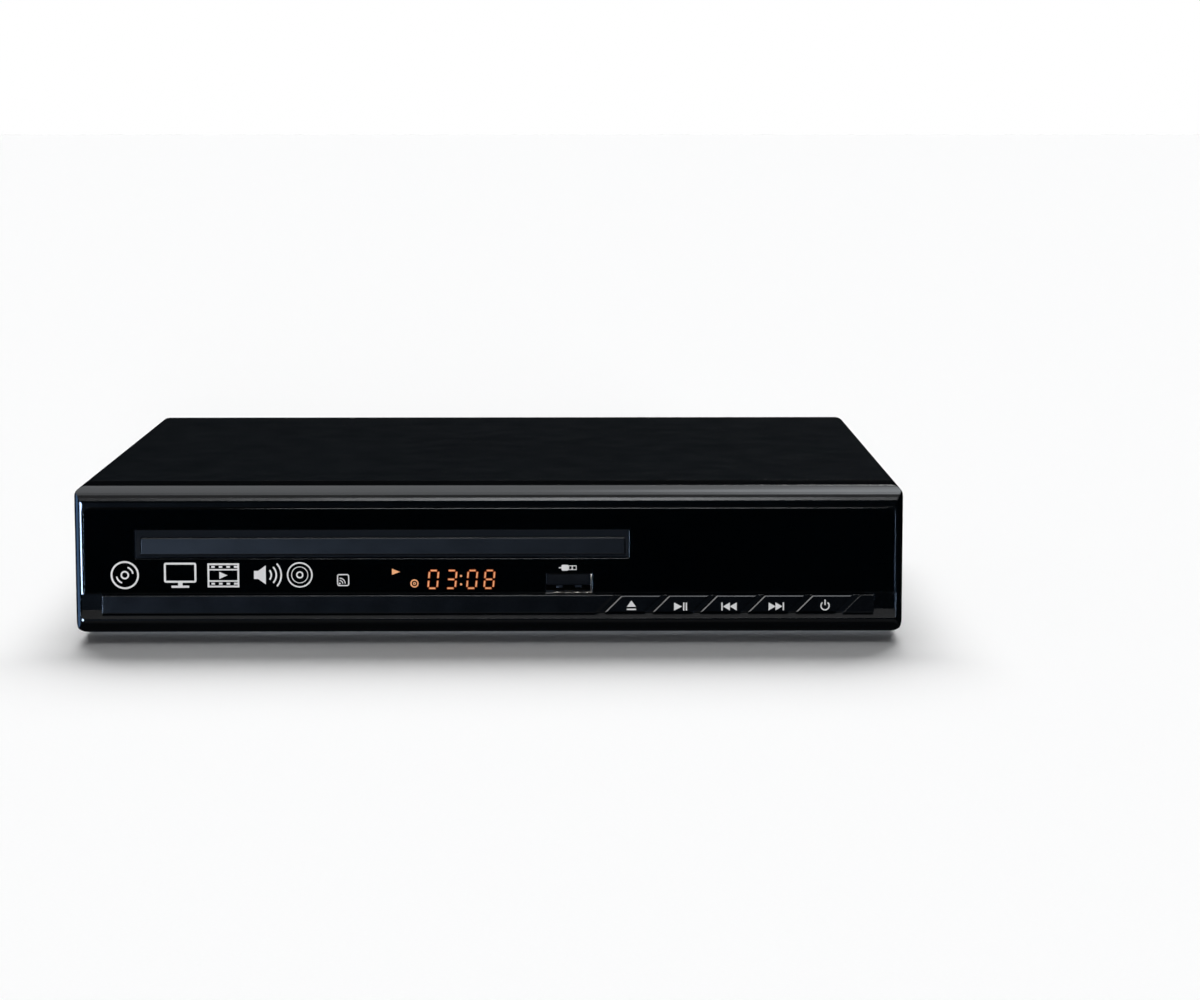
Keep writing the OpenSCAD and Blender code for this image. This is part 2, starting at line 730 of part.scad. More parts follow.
module loader_frame() {
    base_z = [5, 7];
    side_in = loader_half - 2.5;
    open_half = 34;
    rail_z = [21.4, 25.95];
    hook_z = [28.3, 30];
    front_wall_z = 18;
    post_r = 1.5;
    bracket = [33.2, 36.6];
    color([0.16, 0.16, 0.18])
    difference() {
        union() {
            // base, walls and the C-shaped runs for the tray's flanges
            along_z(rounded(about(tray_x, loader_half), loader_y, 2), base_z);
            for (side = [-1, 1]) {
                box(about(tray_x + side * (loader_half - 1.25), 1.25), grown(loader_y, -2), [base_z[0], 31.5]);
                box(about(tray_x + side * (side_in - 3.6), 3.8), [loader_y[0] + 1, loader_y[1] - 3], rail_z);
                box(about(tray_x + side * (side_in - 1.8), 2), [loader_y[0] + 1, loader_y[1] - 3],
                    [rail_z[1] - 0.2, hook_z[1]]);
                for (y = [-78, -30, 20, 70])
                    box(about(tray_x + side * (side_in - 3.2), 3.4), about(y, 5), hook_z);
                for (y = [-60 : 24 : 60])
                    box(about(tray_x + side * (side_in - 3), 3.2), about(y, 0.6), [base_z[0], rail_z[0] + cut]);
                // bearing brackets of the deck's rear pins
                box(about(tray_x + side * (bracket[0] + bracket[1]) / 2, (bracket[1] - bracket[0]) / 2),
                    about(pivot[0], 4.6), [base_z[0], pivot[1] + 4]);
                box(about(tray_x + side * (bracket[1] + 3), 4), about(pivot[0], 0.7), [base_z[0], pivot[1]]);
            }
            box(about(tray_x, side_in), [loader_y[0], loader_y[0] + 1.5], [base_z[0], front_wall_z]);
            box(about(tray_x, side_in), [loader_y[1] - 1.7, loader_y[1]], [base_z[0], 28]);
            // posts that the two gears turn on
            disc(gear_at, 3.6, [base_z[0], gear_z[0] - 0.05]);
            disc(gear_at, post_r, [base_z[0], pinion_z[1] - 0.1]);
            disc(pulley_at, 3.2, [base_z[0], gear_z[0] - 0.05]);
            disc(pulley_at, post_r, [base_z[0], belt_z[1] + 0.5]);
            // cradle of the motor and guides of the slider
            for (side = [-1, 1])
                box(about(motor_at[0], 6), about(motor_at[1] + side * 7.1, 0.7), [base_z[0], 12]);
            box([-70, 4], [slider_y[0] - 1.5, slider_y[0] - 0.25], [base_z[0], 11]);
            for (x = [-62, 2])
                box(about(x, 3), [slider_y[1] + 0.25, slider_y[1] + 1.5], [base_z[0], 11]);
        }
        // notch for the back of the front port
        box(about(port_x, port_half[0] + 0.8), [loader_y[0] - cut, loader_y[0] + 1.6], [port_z - 4.5, port_z + 6]);
        // space that the deck swings in
        along_z(rounded(about(tray_x, open_half), [slider_y[1] + 1.5, 66], 2), [base_z[0] - cut, base_z[1] + 0.01]);
        rod_x(pivot, 2.05, about(tray_x, bracket[1] + 2));
        for (side = [-1, 1])
            for (y = [-30, 14])
                box(about(tray_x + side * 54, 9), about(y, 16), grown(base_z, cut));
        for (at = damper_places())
            disc(at, 2.6, grown(base_z, cut));
        for (at = bridge_holes())
            disc(at, 0.9, [26, 32]);
    }
}

function damper_places() = [for (x = [-62, 62]) for (y = [-72, 73]) [tray_x + x, y]];
function bridge_holes() = [for (side = [-1, 1]) for (y = [-48, -12]) [tray_x + side * 70.7, y]];

module loader_dampers() {
    color([0.25, 0.2, 0.2])
    for (at = damper_places())
        translate([at[0], at[1], floor_z + sheet_t])
            rotate_extrude()
                polygon([[0, 0], [5, 0], [5, 1.2], [2.5, 1.2], [2.5, 3.2], [4.4, 3.2], [4.4, 4.2], [0, 4.2]]);
}

module clamp_bridge() {
    plate_z = [33.5, 35];
    y = [-52, -8];
    hole_r = 13.8;
    color([0.2, 0.2, 0.22])
    difference() {
        union() {
            along_z(rounded(about(tray_x, loader_half), y, 3), plate_z);
            for (side = [-1, 1])
                box(about(tray_x + side * (loader_half - 2.2), 2.2), y, [31.5, plate_z[0] + 0.2]);
            for (edge = [y[0] + 1, y[1] - 1])
                box(about(tray_x, loader_half - 8), about(edge, 0.8), [plate_z[0], plate_z[1] + 2]);
            disc([tray_x, disc_y], hole_r + 2.6, [plate_z[0], plate_z[1] + 0.01]);
        }
        disc([tray_x, disc_y], hole_r, grown(plate_z, cut));
        for (side = [-1, 1])
            along_z(rounded(about(tray_x + side * 42, 16), about(disc_y, 12), 4), grown(plate_z, cut));
        for (at = bridge_holes())
            disc(at, 1.25, [31, plate_z[1] + cut]);
    }
}

module bridge_screws() {
    color("silver")
    for (at = bridge_holes())
        screw(at, 36, 2, 0.88, 7);
}

module cam_slider() {
    z = [7.05, 21];
    x = [tray_x - 37, tray_x + 18.6];
    pin_z = slot_ends();
    color("whitesmoke")
    difference() {
        union() {
            box(x, slider_y, z);
            // peg that runs in the groove under the tray
            disc([peg_x, (slider_y[0] + slider_y[1]) / 2], 1.4, [z[1] - 1, 25.5]);
        }
        for (pin = slot_pins)
            along_y(slot_outline(tray_x + pin, pin_z), grown(slider_y, cut));
        box([x[0] - cut, x[0] + 4], grown(slider_y, cut), [15, z[1] + cut]);
    }
}

slot_pins = [-15, 15];
slider_travel = 14;
pin_r = 1.3;
pin_y = slider_y[0] + 1.5;
pin_high = 18;

// Height of the deck's front pins, lowered and raised
function slot_ends() =
    let (reach = pivot[0] - pin_y, up = pin_high - pivot[1])
    [pivot[1] - reach * sin(tilt) + up * cos(tilt), pin_high];

// Sloping slot of a pin, with a level stretch at each end
function slot_outline(x, z) =
    let (r = pin_r + 0.35, dwell = 1.4)
    [[x + dwell, z[0] - r], [x + dwell, z[0] + r], [x, z[0] + r + 0.3], [x - slider_travel, z[1] + r],
        [x - slider_travel - dwell, z[1] + r], [x - slider_travel - dwell, z[1] - r],
        [x - slider_travel, z[1] - r - 0.3], [x, z[0] - r]];

module deck_frame() {
    half = 32;
    y = [-55, 62];
    plate_z = [20.5, 22.5];
    skirt_z = [15.5, 20.6];
    window_y = [-17.5, 47];
    window_half = 23.6;
    color([0.14, 0.14, 0.15])
    lowered()
        difference() {
            union() {
                along_z(rounded(about(tray_x, half), y, 3), plate_z);
                difference() {
                    along_z(rounded(about(tray_x, half), y, 3), skirt_z);
                    along_z(rounded(about(tray_x, half - 1.4), grown(y, -1.4), 1.6), grown(skirt_z, cut));
                }
                // front pins in the slider's slots and rear pins in the frame's brackets
                for (pin = slot_pins)
                    rod_y([tray_x + pin, pin_high], pin_r, [slider_y[0] - 0.2, y[0] + 0.5]);
                for (side = [-1, 1])
                    rod_x(pivot, 2, about(tray_x + side * (half + 1.9), 2.4));
                // blocks that hold the guide rods
                for (side = [-1, 1])
                    for (end = [window_y[0] - 2, window_y[1] + 2])
                        box(about(tray_x + side * rod_off, 3), about(end, 1.8), [rod_z - 3, plate_z[0] + 0.2]);
                // front bearing of the lead screw and saddle of its motor
                box(about(tray_x + screw_off, 2.6), about(window_y[0] - 2, 1.8), [screw_z - 2.6, plate_z[0] + 0.2]);
                box(about(tray_x + screw_off, 6), [51, 54], [screw_z + 1, plate_z[0] + 0.2]);
            }
            box(about(tray_x, window_half), window_y, [rod_z - 4, plate_z[1] + cut]);
            disc([tray_x, disc_y], 6, grown(plate_z, cut));
            for (side = [-1, 1])
                rod_y([tray_x + side * rod_off, rod_z], 1.52, [window_y[0] - 5, window_y[1] + 5]);
            rod_y([tray_x + screw_off, screw_z], 1.04, [window_y[0] - 5, window_y[0] + 1]);
            rod_y([tray_x + screw_off, screw_z], sled_motor_r + 0.02, [50, 55]);
        }
}

rod_off = 17;
rod_z = 17.2;
screw_off = 25.2;
screw_z = 15;
sled_motor_r = 5;

module guide_rods() {
    color("silver")
    lowered()
        for (side = [-1, 1])
            rod_y([tray_x + side * rod_off, rod_z], 1.5, [-21.2, 50.7]);
}

module spindle_motor() {
    z = [12.4, 20.5];
    color("silver")
    lowered()
        difference() {
            union() {
                disc([tray_x, disc_y], 11.5, z);
                disc([tray_x, disc_y], 4, [z[1] - 0.2, z[1] + 3]);
            }
            disc([tray_x, disc_y], 1.05, [z[0] + 0.8, z[1] + 4]);
            difference() {
                disc([tray_x, disc_y], 11.5 + cut, [z[0] + 2, z[0] + 2.6]);
                disc([tray_x, disc_y], 10.9, [z[0], z[1]]);
            }
        }
}

module turntable() {
    seat_z = 29;
    color([0.1, 0.1, 0.1])
    lowered()
        translate([tray_x, disc_y, 0])
            rotate_extrude()
                polygon([[0, 14], [1, 14], [1, 24.2], [5, 24.2], [5, 26.6], [13, 26.6], [14, 27.2], [14, seat_z],
                    [7.4, seat_z], [7.35, seat_z + 1.1], [6, 31], [3, 31], [3, 30.2], [0, 30.2]]);
}

module sled_motor() {
    y = [48.2, 58];
    color("silver")
    lowered()
        difference() {
            rod_y([tray_x + screw_off, screw_z], sled_motor_r, y);
            rod_y([tray_x + screw_off, screw_z], 1.05, [y[0] - cut, y[1] - 3]);
        }
}

module lead_screw() {
    turns = 18;
    pitch = 3;
    color("silver")
    lowered()
        translate([tray_x + screw_off, 54.5, screw_z])
            rotate([90, 0, 0])
                rotate_extrude()
                    polygon(concat([[0, 0], [1, 0], [1, 9]],
                        [for (i = [0 : turns - 1]) let (h = 10 + i * pitch) each [
                            [1.5, h], [1.5, h + pitch * 0.6], [1.15, h + pitch * 0.7], [1.15, h + pitch * 0.9]]],
                        [[1, 10 + turns * pitch], [1, 74.5], [0, 74.5]]));
}

module optical_pickup() {
    y = [-16.5, 8];
    z = [13.6, 23.8];
    half = 22.8;
    lens_y = -6;
    color([0.35, 0.36, 0.38])
    lowered()
        difference() {
            union() {
                along_z(rounded(about(tray_x, half), y, 3), [z[0], 21]);
                along_z(rounded(about(tray_x, 13), [y[0] + 1, y[1] - 1], 2), [20, z[1]]);
                along_z(rounded(about(tray_x, 7), about(lens_y, 6.5), 1.5), [z[1] - 1, 26.4]);
                // arm with the tooth that follows the lead screw
                box([tray_x + half - 1, tray_x + 28], [-8, 2], [z[0] - 0.6, screw_z + 3.6]);
            }
            for (side = [-1, 1])
                rod_y([tray_x + side * rod_off, rod_z], 1.55, grown(y, cut));
            rod_y([tray_x + screw_off, screw_z], 1.65, grown(y, cut));
            box([tray_x + screw_off, tray_x + 29], grown(y, cut), about(screw_z, 1.65));
            disc([tray_x, lens_y], 3.4, [24.4, 27]);
            for (side = [-1, 1])
                box(about(tray_x + side * 9.8, 1.6), about(lens_y, 5), [z[1] - 1.6, z[1] + cut]);
        }
}

module pickup_lens() {
    color([0.3, 0.4, 0.7])
    lowered()
        translate([tray_x, -6, 24.4])
            rotate_extrude()
                polygon(concat([[0, 0], [3.2, 0], [3.2, 1.6], [2.4, 1.6]], arc(0, 0, 2.4, 42, 90), [[0, 2.4]]));
}

module clamper_puck() {
    z = [30.9, 36.4];
    color([0.85, 0.85, 0.83])
    translate([tray_x, disc_y, 0])
        rotate_extrude()
            polygon([[0, z[0] + 2.2], [8.6, z[0] + 2.2], [8.6, z[0]], [12.4, z[0]], [13.2, z[0] + 0.8], [13.2, 35.05],
                [15.5, 35.05], [15.5, z[1]], [9, z[1]], [9, 34.4], [0, 34.4]]);
}

module clamper_magnet() {
    color("silver")
    disc([tray_x, disc_y], 8.8, [34.4, 36.2]);
}

// ---- Boards ----

main_board_x = [46, 86];
power_board_x = [87, 110];
board_rear = rear_y - 2.4;

module main_board() {
    color("darkgreen")
    difference() {
        box(main_board_x, [-40, board_rear], board_z);
        for (at = main_holes())
            disc(at, 1.6, grown(board_z, cut));
    }
}

function main_holes() = [for (x = [50, 82]) for (y = [-35, 60]) [x, y]];
function power_holes() = [for (x = [91, 106]) for (y = [-15, 66]) [x, y]];

module power_board() {
    color("peru")
    difference() {
        box(power_board_x, [-20, board_rear], board_z);
        for (at = power_holes())
            disc(at, 1.6, grown(board_z, cut));
        // isolating slot between the mains side and the low-voltage side
        box([90, 107], about(18, 0.8), grown(board_z, cut));
    }
}

module board_standoffs() {
    color("goldenrod")
    for (at = concat(main_holes(), power_holes()))
        difference() {
            disc(at, 3, [floor_z + sheet_t, board_z[0]]);
            disc(at, 1.3, [floor_z + sheet_t + 0.5, board_z[0] + cut]);
        }
}

module board_screws() {
    color("silver")
    for (at = concat(main_holes(), power_holes()))
        screw(at, board_z[1] + 1.3, 2.6, 1.25, 6);
}

// A chip with a bevelled top and rows of legs on two sides
module chip(middle, half, h, legs) {
    z = board_z[1];
    box(about(middle[0], half[0]), about(middle[1], half[1]), [z + 0.2, z + h]);
    for (i = [0 : legs - 1])
        box(about(middle[0], half[0] + 1), about(middle[1] - half[1] + (i + 0.5) * 2 * half[1] / legs, half[1] / legs / 3),
            [z, z + h / 2]);
}

module decoder_chips() {
    color([0.1, 0.1, 0.1]) {
        chip([66, 12], [11, 11], 1.6, 16);
        chip([66, -18], [6, 9], 1.4, 12);
        chip([66, 40], [5, 6], 1.4, 8);
    }
}

module board_capacitors() {
    z = board_z[1];
    spots = [[82.5, 0, 2.5, 8], [82.5, 8, 2.5, 8], [51, -6, 3.2, 11], [51, 30, 3.2, 11], [78, 46, 2.5, 7],
        [94.5, -4, 4, 14], [103.5, -4, 4, 14]];
    color([0.1, 0.12, 0.25])
    for (s = spots)
        difference() {
            disc([s[0], s[1]], s[2], [z, z + s[3]]);
            difference() {
                disc([s[0], s[1]], s[2] + cut, [z + 1.2, z + 1.9]);
                disc([s[0], s[1]], s[2] - 0.3, [z + 1, z + 2]);
            }
        }
}

module power_transformer() {
    z = board_z[1];
    middle = [99, 26];
    color("gold") {
        // ferrite core with its winding window, and the bobbin inside
        difference() {
            box(about(middle[0], 9), about(middle[1], 5), [z + 2, z + 18]);
            for (side = [-1, 1])
                box(about(middle[0] + side * 5.2, 1.6), about(middle[1], 6), [z + 4.4, z + 15.6]);
        }
        difference() {
            disc(middle, 7, [z + 4.6, z + 15.4]);
            box(about(middle[0], 9.1), about(middle[1], 5.05), [z, z + 20]);
        }
        for (side = [-1, 1])
            box(about(middle[0], 8), about(middle[1] + side * 6.2, 1.4), [z, z + 4.8]);
    }
}

module mains_capacitor() {
    z = board_z[1];
    color([0.05, 0.05, 0.06])
    difference() {
        disc([99, 52], 7, [z, z + 20]);
        difference() {
            disc([99, 52], 7 + cut, [z + 1.6, z + 2.6]);
            disc([99, 52], 6.6, [z + 1, z + 3]);
        }
        for (a = [0, 60, 120])
            translate([99, 52, z + 20])
                rotate([0, 0, a])
                    cube([9, 0.6, 0.5], center = true);
    }
}

module heat_sink() {
    z = board_z[1];
    fins = 5;
    color("lightgray") {
        box([91, 107], [9, 10.4], [z, z + 18]);
        for (i = [0 : fins - 1])
            box(about(91.8 + i * 3.6, 0.6), [4, 9.2], [z + 4, z + 18]);
    }
}

module mains_inlet() {
    y = [rear_y - 16, rear_y - sheet_t / 2];
    middle = [(inlet_x[0] + inlet_x[1]) / 2, (inlet_z[0] + inlet_z[1]) / 2];
    color([0.08, 0.08, 0.08])
    difference() {
        union() {
            along_y(rounded(inlet_x, inlet_z, 0.8), y);
            box(grown(inlet_x, -3), [y[0] + 1, y[0] + 9], [board_z[1], inlet_z[0] + 1]);
        }
        for (side = [-1, 1])
            rod_y([middle[0] + side * 4.3, middle[1]], 4.1, [y[1] - 11, y[1] + cut]);
        box(about(middle[0], 4.3), [y[1] - 11, y[1] + cut], about(middle[1], 3.9));
        for (side = [-1, 1])
            rod_y([middle[0] + side * 4.3, middle[1]], 1.15, [y[1] - 15, y[1]]);
    }
}

module inlet_pins() {
    y = rear_y - sheet_t / 2;
    middle = [(inlet_x[0] + inlet_x[1]) / 2, (inlet_z[0] + inlet_z[1]) / 2];
    color("silver")
    for (side = [-1, 1])
        rod_y([middle[0] + side * 4.3, middle[1]], 1.12, [y - 15, y - 1.5]);
}

module jack_housing() {
    y = [rear_y - 14, rear_y - 2 * sheet_t - 0.1];
    places = jack_places();
    color([0.1, 0.1, 0.1])
    difference() {
        box([places[0][0] - 6.2, places[3][0] + 6.2], y, [board_z[1], places[3][1] + 6.2]);
        for (at = places)
            rod_y(at, jack_seat_r + 0.02, [y[0] + 4, y[1] + cut]);
        box([places[0][0] - 4, places[3][0] + 4], [y[0] - cut, y[0] + 2], [board_z[1] + 4, places[3][1] + 4]);
    }
}

module jack_sleeves() {
    bore_r = 3.3;
    color("silver")
    for (at = jack_places())
        difference() {
            union() {
                rod_y(at, jack_r, [rear_y - 1.5, rear_y + jack_out]);
                rod_y(at, jack_seat_r, [rear_y - 10, rear_y - 1]);
            }
            rod_y(at, bore_r, [rear_y - 11, rear_y + jack_out + cut]);
        }
}

module jack_inserts() {
    color("white")
    for (at = jack_places())
        difference() {
            rod_y(at, 3.28, [rear_y - 10, rear_y + jack_out - 0.8]);
            rod_y(at, 1.6, [rear_y - 8, rear_y + jack_out + cut]);
        }
}

module av_socket() {
    y = [rear_y - 12, rear_y - 0.2];
    tongue = [9, 0.9];
    middle = [(socket_x[0] + socket_x[1]) / 2, (socket_z[0] + socket_z[1]) / 2];
    color("silver")
    difference() {
        union() {
            along_y(rounded(socket_x, socket_z, 0.5), y);
            // tabs that are soldered to the board
            for (x = [socket_x[0] + 3, socket_x[1] - 3])
                box(about(x, 0.8), [y[0] + 1, y[0] + 5], [board_z[1], socket_z[0] + 0.2]);
        }
        difference() {
            along_y(rounded(grown(socket_x, -0.4), grown(socket_z, -0.4), 0.3), [y[0] + 2, y[1] + cut]);
            box(about(middle[0], tongue[0] / 2), [y[0], y[1] - 4.6], about(middle[1], tongue[1] / 2));
        }
    }
}

module flat_cable() {
    // flat cable from the front board to the main board, in three straight runs
    t = 0.3;
    x = [58, 72];
    color("white") {
        box(x, [board_y[1], board_y[1] + 3], [14, 14 + t]);
        box(x, [board_y[1] + 3 - t, board_y[1] + 3], [12.2, 14 + t]);
        box(x, [board_y[1] + 3 - t, -37], [12.2, 12.2 + t]);
        box(x, [-37 - t, -37], [board_z[1], 12.2 + t]);
    }
}

module cover_screws() {
    color("silver") {
        for (hole = cover_holes)
            translate([hole[0], rear_y, hole[1]])
                rotate([-90, 0, 0])
                    screw([0, 0], 1.3, 2.6, 1.25, 4);
        for (x = panel_screws)
            translate([x, rear_y - sheet_t, 8.6])
                rotate([-90, 0, 0])
                    screw([0, 0], 1.3, 2.6, 1.25, 4);
        // flush screws through the cover's sides into the pan
        for (side = [-1, 1])
            for (y = side_screws) {
                rod_x([y, side_screw_z], 1.45, about(side * (half_w - sheet_t / 2), sheet_t / 2 - 0.05));
                rod_x([y, side_screw_z], 1.2, about(side * (half_w - 1.55), 0.8));
            }
    }
}

bottom_pan();
rear_panel();
top_cover();
rubber_feet();
front_bezel();
fascia_panel();
key_rail();
display_module();
front_board();
ir_receiver();
tact_switches();
port_shell();
port_tongue();
loader_frame();
loader_dampers();
loading_motor();
drive_belt();
clamp_bridge();
bridge_screws();
main_board();
decoder_chips();
board_capacitors();
av_socket();
jack_housing();
jack_sleeves();
jack_inserts();
power_board();
power_transformer();
mains_capacitor();
heat_sink();
mains_inlet();
inlet_pins();
board_standoffs();
board_screws();
cover_screws();
flat_cable();
disc_tray();
tray_door();
drive_gear();
pulley_gear();
motor_pulley();
cam_slider();
deck_frame();
spindle_motor();
guide_rods();
sled_motor();
turntable();
clamper_puck();
clamper_magnet();
optical_pickup();
pickup_lens();
lead_screw();
key_open();
key_play();
key_previous();
key_next();
key_power();
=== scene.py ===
"""Looks of a compact disc player with a loading tray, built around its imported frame.

Every part of the frame gets a finish. The small outer pieces are modelled and fitted to it, and a plain
studio lights them. Sizes in the dataclasses are in millimetres, and Blender works in metres.
"""

import logging
import math
from collections.abc import Callable, Iterator
from contextlib import contextmanager
from dataclasses import dataclass
from enum import Enum
from typing import ClassVar

import bmesh
import bpy
from mathutils import Euler, Matrix, Vector


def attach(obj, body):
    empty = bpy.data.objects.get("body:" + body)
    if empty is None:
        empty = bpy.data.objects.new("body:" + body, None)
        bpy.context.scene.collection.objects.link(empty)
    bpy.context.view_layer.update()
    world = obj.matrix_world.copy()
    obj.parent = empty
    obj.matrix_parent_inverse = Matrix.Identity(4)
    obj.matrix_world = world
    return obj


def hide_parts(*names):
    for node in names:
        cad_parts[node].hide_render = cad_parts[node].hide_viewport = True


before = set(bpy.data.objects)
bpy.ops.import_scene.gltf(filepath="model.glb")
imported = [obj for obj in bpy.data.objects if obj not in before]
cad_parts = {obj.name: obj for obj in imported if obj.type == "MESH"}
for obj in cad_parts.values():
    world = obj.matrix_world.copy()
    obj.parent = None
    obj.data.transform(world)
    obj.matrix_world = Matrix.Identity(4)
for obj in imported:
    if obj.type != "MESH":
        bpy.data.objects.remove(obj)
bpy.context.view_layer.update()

MM = 0.001
MERGE_DISTANCE = 1e-7
Colour = tuple[float, float, float]
Span = tuple[float, float]
Area = tuple[Span, Span]
Point = tuple[float, float, float]
Piece = bpy.types.Object
Socket = bpy.types.NodeSocket
Y_AXIS: Point = (0, 1, 0)
Z_AXIS: Point = (0, 0, 1)
UNIT: Span = (0.0, 1.0)
log = logging.getLogger("player")


# ---- Finishes ----


class Grain(Enum):
    """How a surface's fine relief is patterned."""

    MOULDED = "moulded"
    POLISHED = "polished"
    BRUSHED = "brushed"
    SPANGLED = "spangled"
    TURNED = "turned"


class Graph:
    """A node tree, joined up as its nodes are added."""

    def __init__(self, tree: bpy.types.NodeTree) -> None:
        """Start with an empty tree."""
        self.nodes, self.links = tree.nodes, tree.links
        self.nodes.clear()

    def add(self, kind: str, **settings: object) -> bpy.types.Node:
        """Add a node.

        Args:
            kind: Name of the node's type, without its prefix.
            settings: Properties of the node to set.

        Returns:
            The node.
        """
        node = self.nodes.new("ShaderNode" + kind)
        for key, value in settings.items():
            setattr(node, key, value)
        node.location = (-220 * (len(self.nodes) // 4), -260 * (len(self.nodes) % 4))
        return node

    def join(self, value: object, socket: Socket) -> None:
        """Link a node's output to a socket, or set the socket to a number, a colour or a vector.

        Args:
            value: The output, number, colour or vector.
            socket: The input that takes it.
        """
        if isinstance(value, Socket):
            self.links.new(value, socket)
        elif isinstance(value, tuple) and socket.type == "RGBA":
            socket.default_value = (*value, 1.0)
        else:
            socket.default_value = value

    def feed(self, node: bpy.types.Node, **values: object) -> bpy.types.Node:
        """Set or link a node's inputs by name, with underscores for spaces.

        Args:
            node: The node.
            values: What each input takes.

        Returns:
            The same node.
        """
        for key, value in values.items():
            self.join(value, node.inputs[key.replace("_", " ")])
        return node

    def place(self, stretch: Point = (1.0, 1.0, 1.0)) -> Socket:
        """Return the piece's own coordinates in metres, stretched along each axis."""
        source = self.add("TexCoord").outputs["Object"]
        return self.feed(self.add("Mapping"), Vector=source, Scale=stretch).outputs[0]

    def parts(self, vector: Socket) -> tuple[Socket, ...]:
        """Return the X, Y and Z of a vector."""
        return tuple(self.feed(self.add("SeparateXYZ"), Vector=vector).outputs)

    def noise(self, size: float, detail: float = 2.0, stretch: Point = (1.0, 1.0, 1.0)) -> Socket:
        """Return a noise pattern.

        Args:
            size: Size of its patches in millimetres.
            detail: Number of finer layers.
            stretch: How often it repeats along each axis, compared with size.

        Returns:
            The pattern's value, about a half.
        """
        node = self.add("TexNoise")
        self.feed(node, Vector=self.place(stretch), Scale=1 / (size * MM), Detail=detail)
        return node.outputs[0]

    def cells(self, size: float) -> bpy.types.Node:
        """Return a pattern of cells, of a size in millimetres."""
        return self.feed(self.add("TexVoronoi"), Vector=self.place(), Scale=1 / (size * MM))

    def ranged(self, value: Socket, source: Span, target: Span = UNIT) -> Socket:
        """Bring a value from one range to another, and keep it in there.

        Args:
            value: The value.
            source: The range that it comes from.
            target: The range that it goes to.

        Returns:
            The new value.
        """
        node = self.add("MapRange")
        self.feed(node, Value=value, From_Min=source[0], From_Max=source[1],
                  To_Min=target[0], To_Max=target[1])
        return node.outputs[0]

    def blend(self, share: object, first: object, second: object) -> Socket:
        """Mix two colours.

        Args:
            share: Share of the second colour, a number or an output.
            first: First colour, or an output.
            second: Second colour, or an output.

        Returns:
            The mixed colour.
        """
        node = self.add("Mix", data_type="RGBA")
        for index, value in ((0, share), (6, first), (7, second)):
            self.join(value, node.inputs[index])
        return node.outputs[2]

    def maths(self, operation: str, first: object, second: object) -> Socket:
        """Work a sum out.

        Args:
            operation: Blender's name of the sum.
            first: First number, or an output.
            second: Second number, or an output.

        Returns:
            The result.
        """
        node = self.add("Math", operation=operation)
        for index, value in enumerate((first, second)):
            self.join(value, node.inputs[index])
        return node.outputs[0]

    def rounded_normal(self, radius: float) -> Socket:
        """Return the normal with the edges rounded to a radius in millimetres."""
        return self.feed(self.add("Bevel", samples=6), Radius=radius * MM).outputs[0]

    def edges(self, rounded: Socket) -> Socket:
        """Tell edges from flats.

        Args:
            rounded: The rounded normal.

        Returns:
            1 along the edges and 0 on the flats.
        """
        likeness = self.add("VectorMath", operation="DOT_PRODUCT")
        self.join(rounded, likeness.inputs[0])
        self.join(self.add("NewGeometry").outputs["Normal"], likeness.inputs[1])
        return self.ranged(likeness.outputs["Value"], (0.995, 0.86))


class Surface(Graph):
    """The nodes of a new material, with its shader."""

    def __init__(self, name: str) -> None:
        """Start a material.

        Args:
            name: Name of the material.
        """
        self.material = bpy.data.materials.new(name)
        self.material.use_nodes = True
        super().__init__(self.material.node_tree)
        self.shader = self.add("BsdfPrincipled")
        self.feed(self.add("OutputMaterial"), Surface=self.shader.outputs[0])


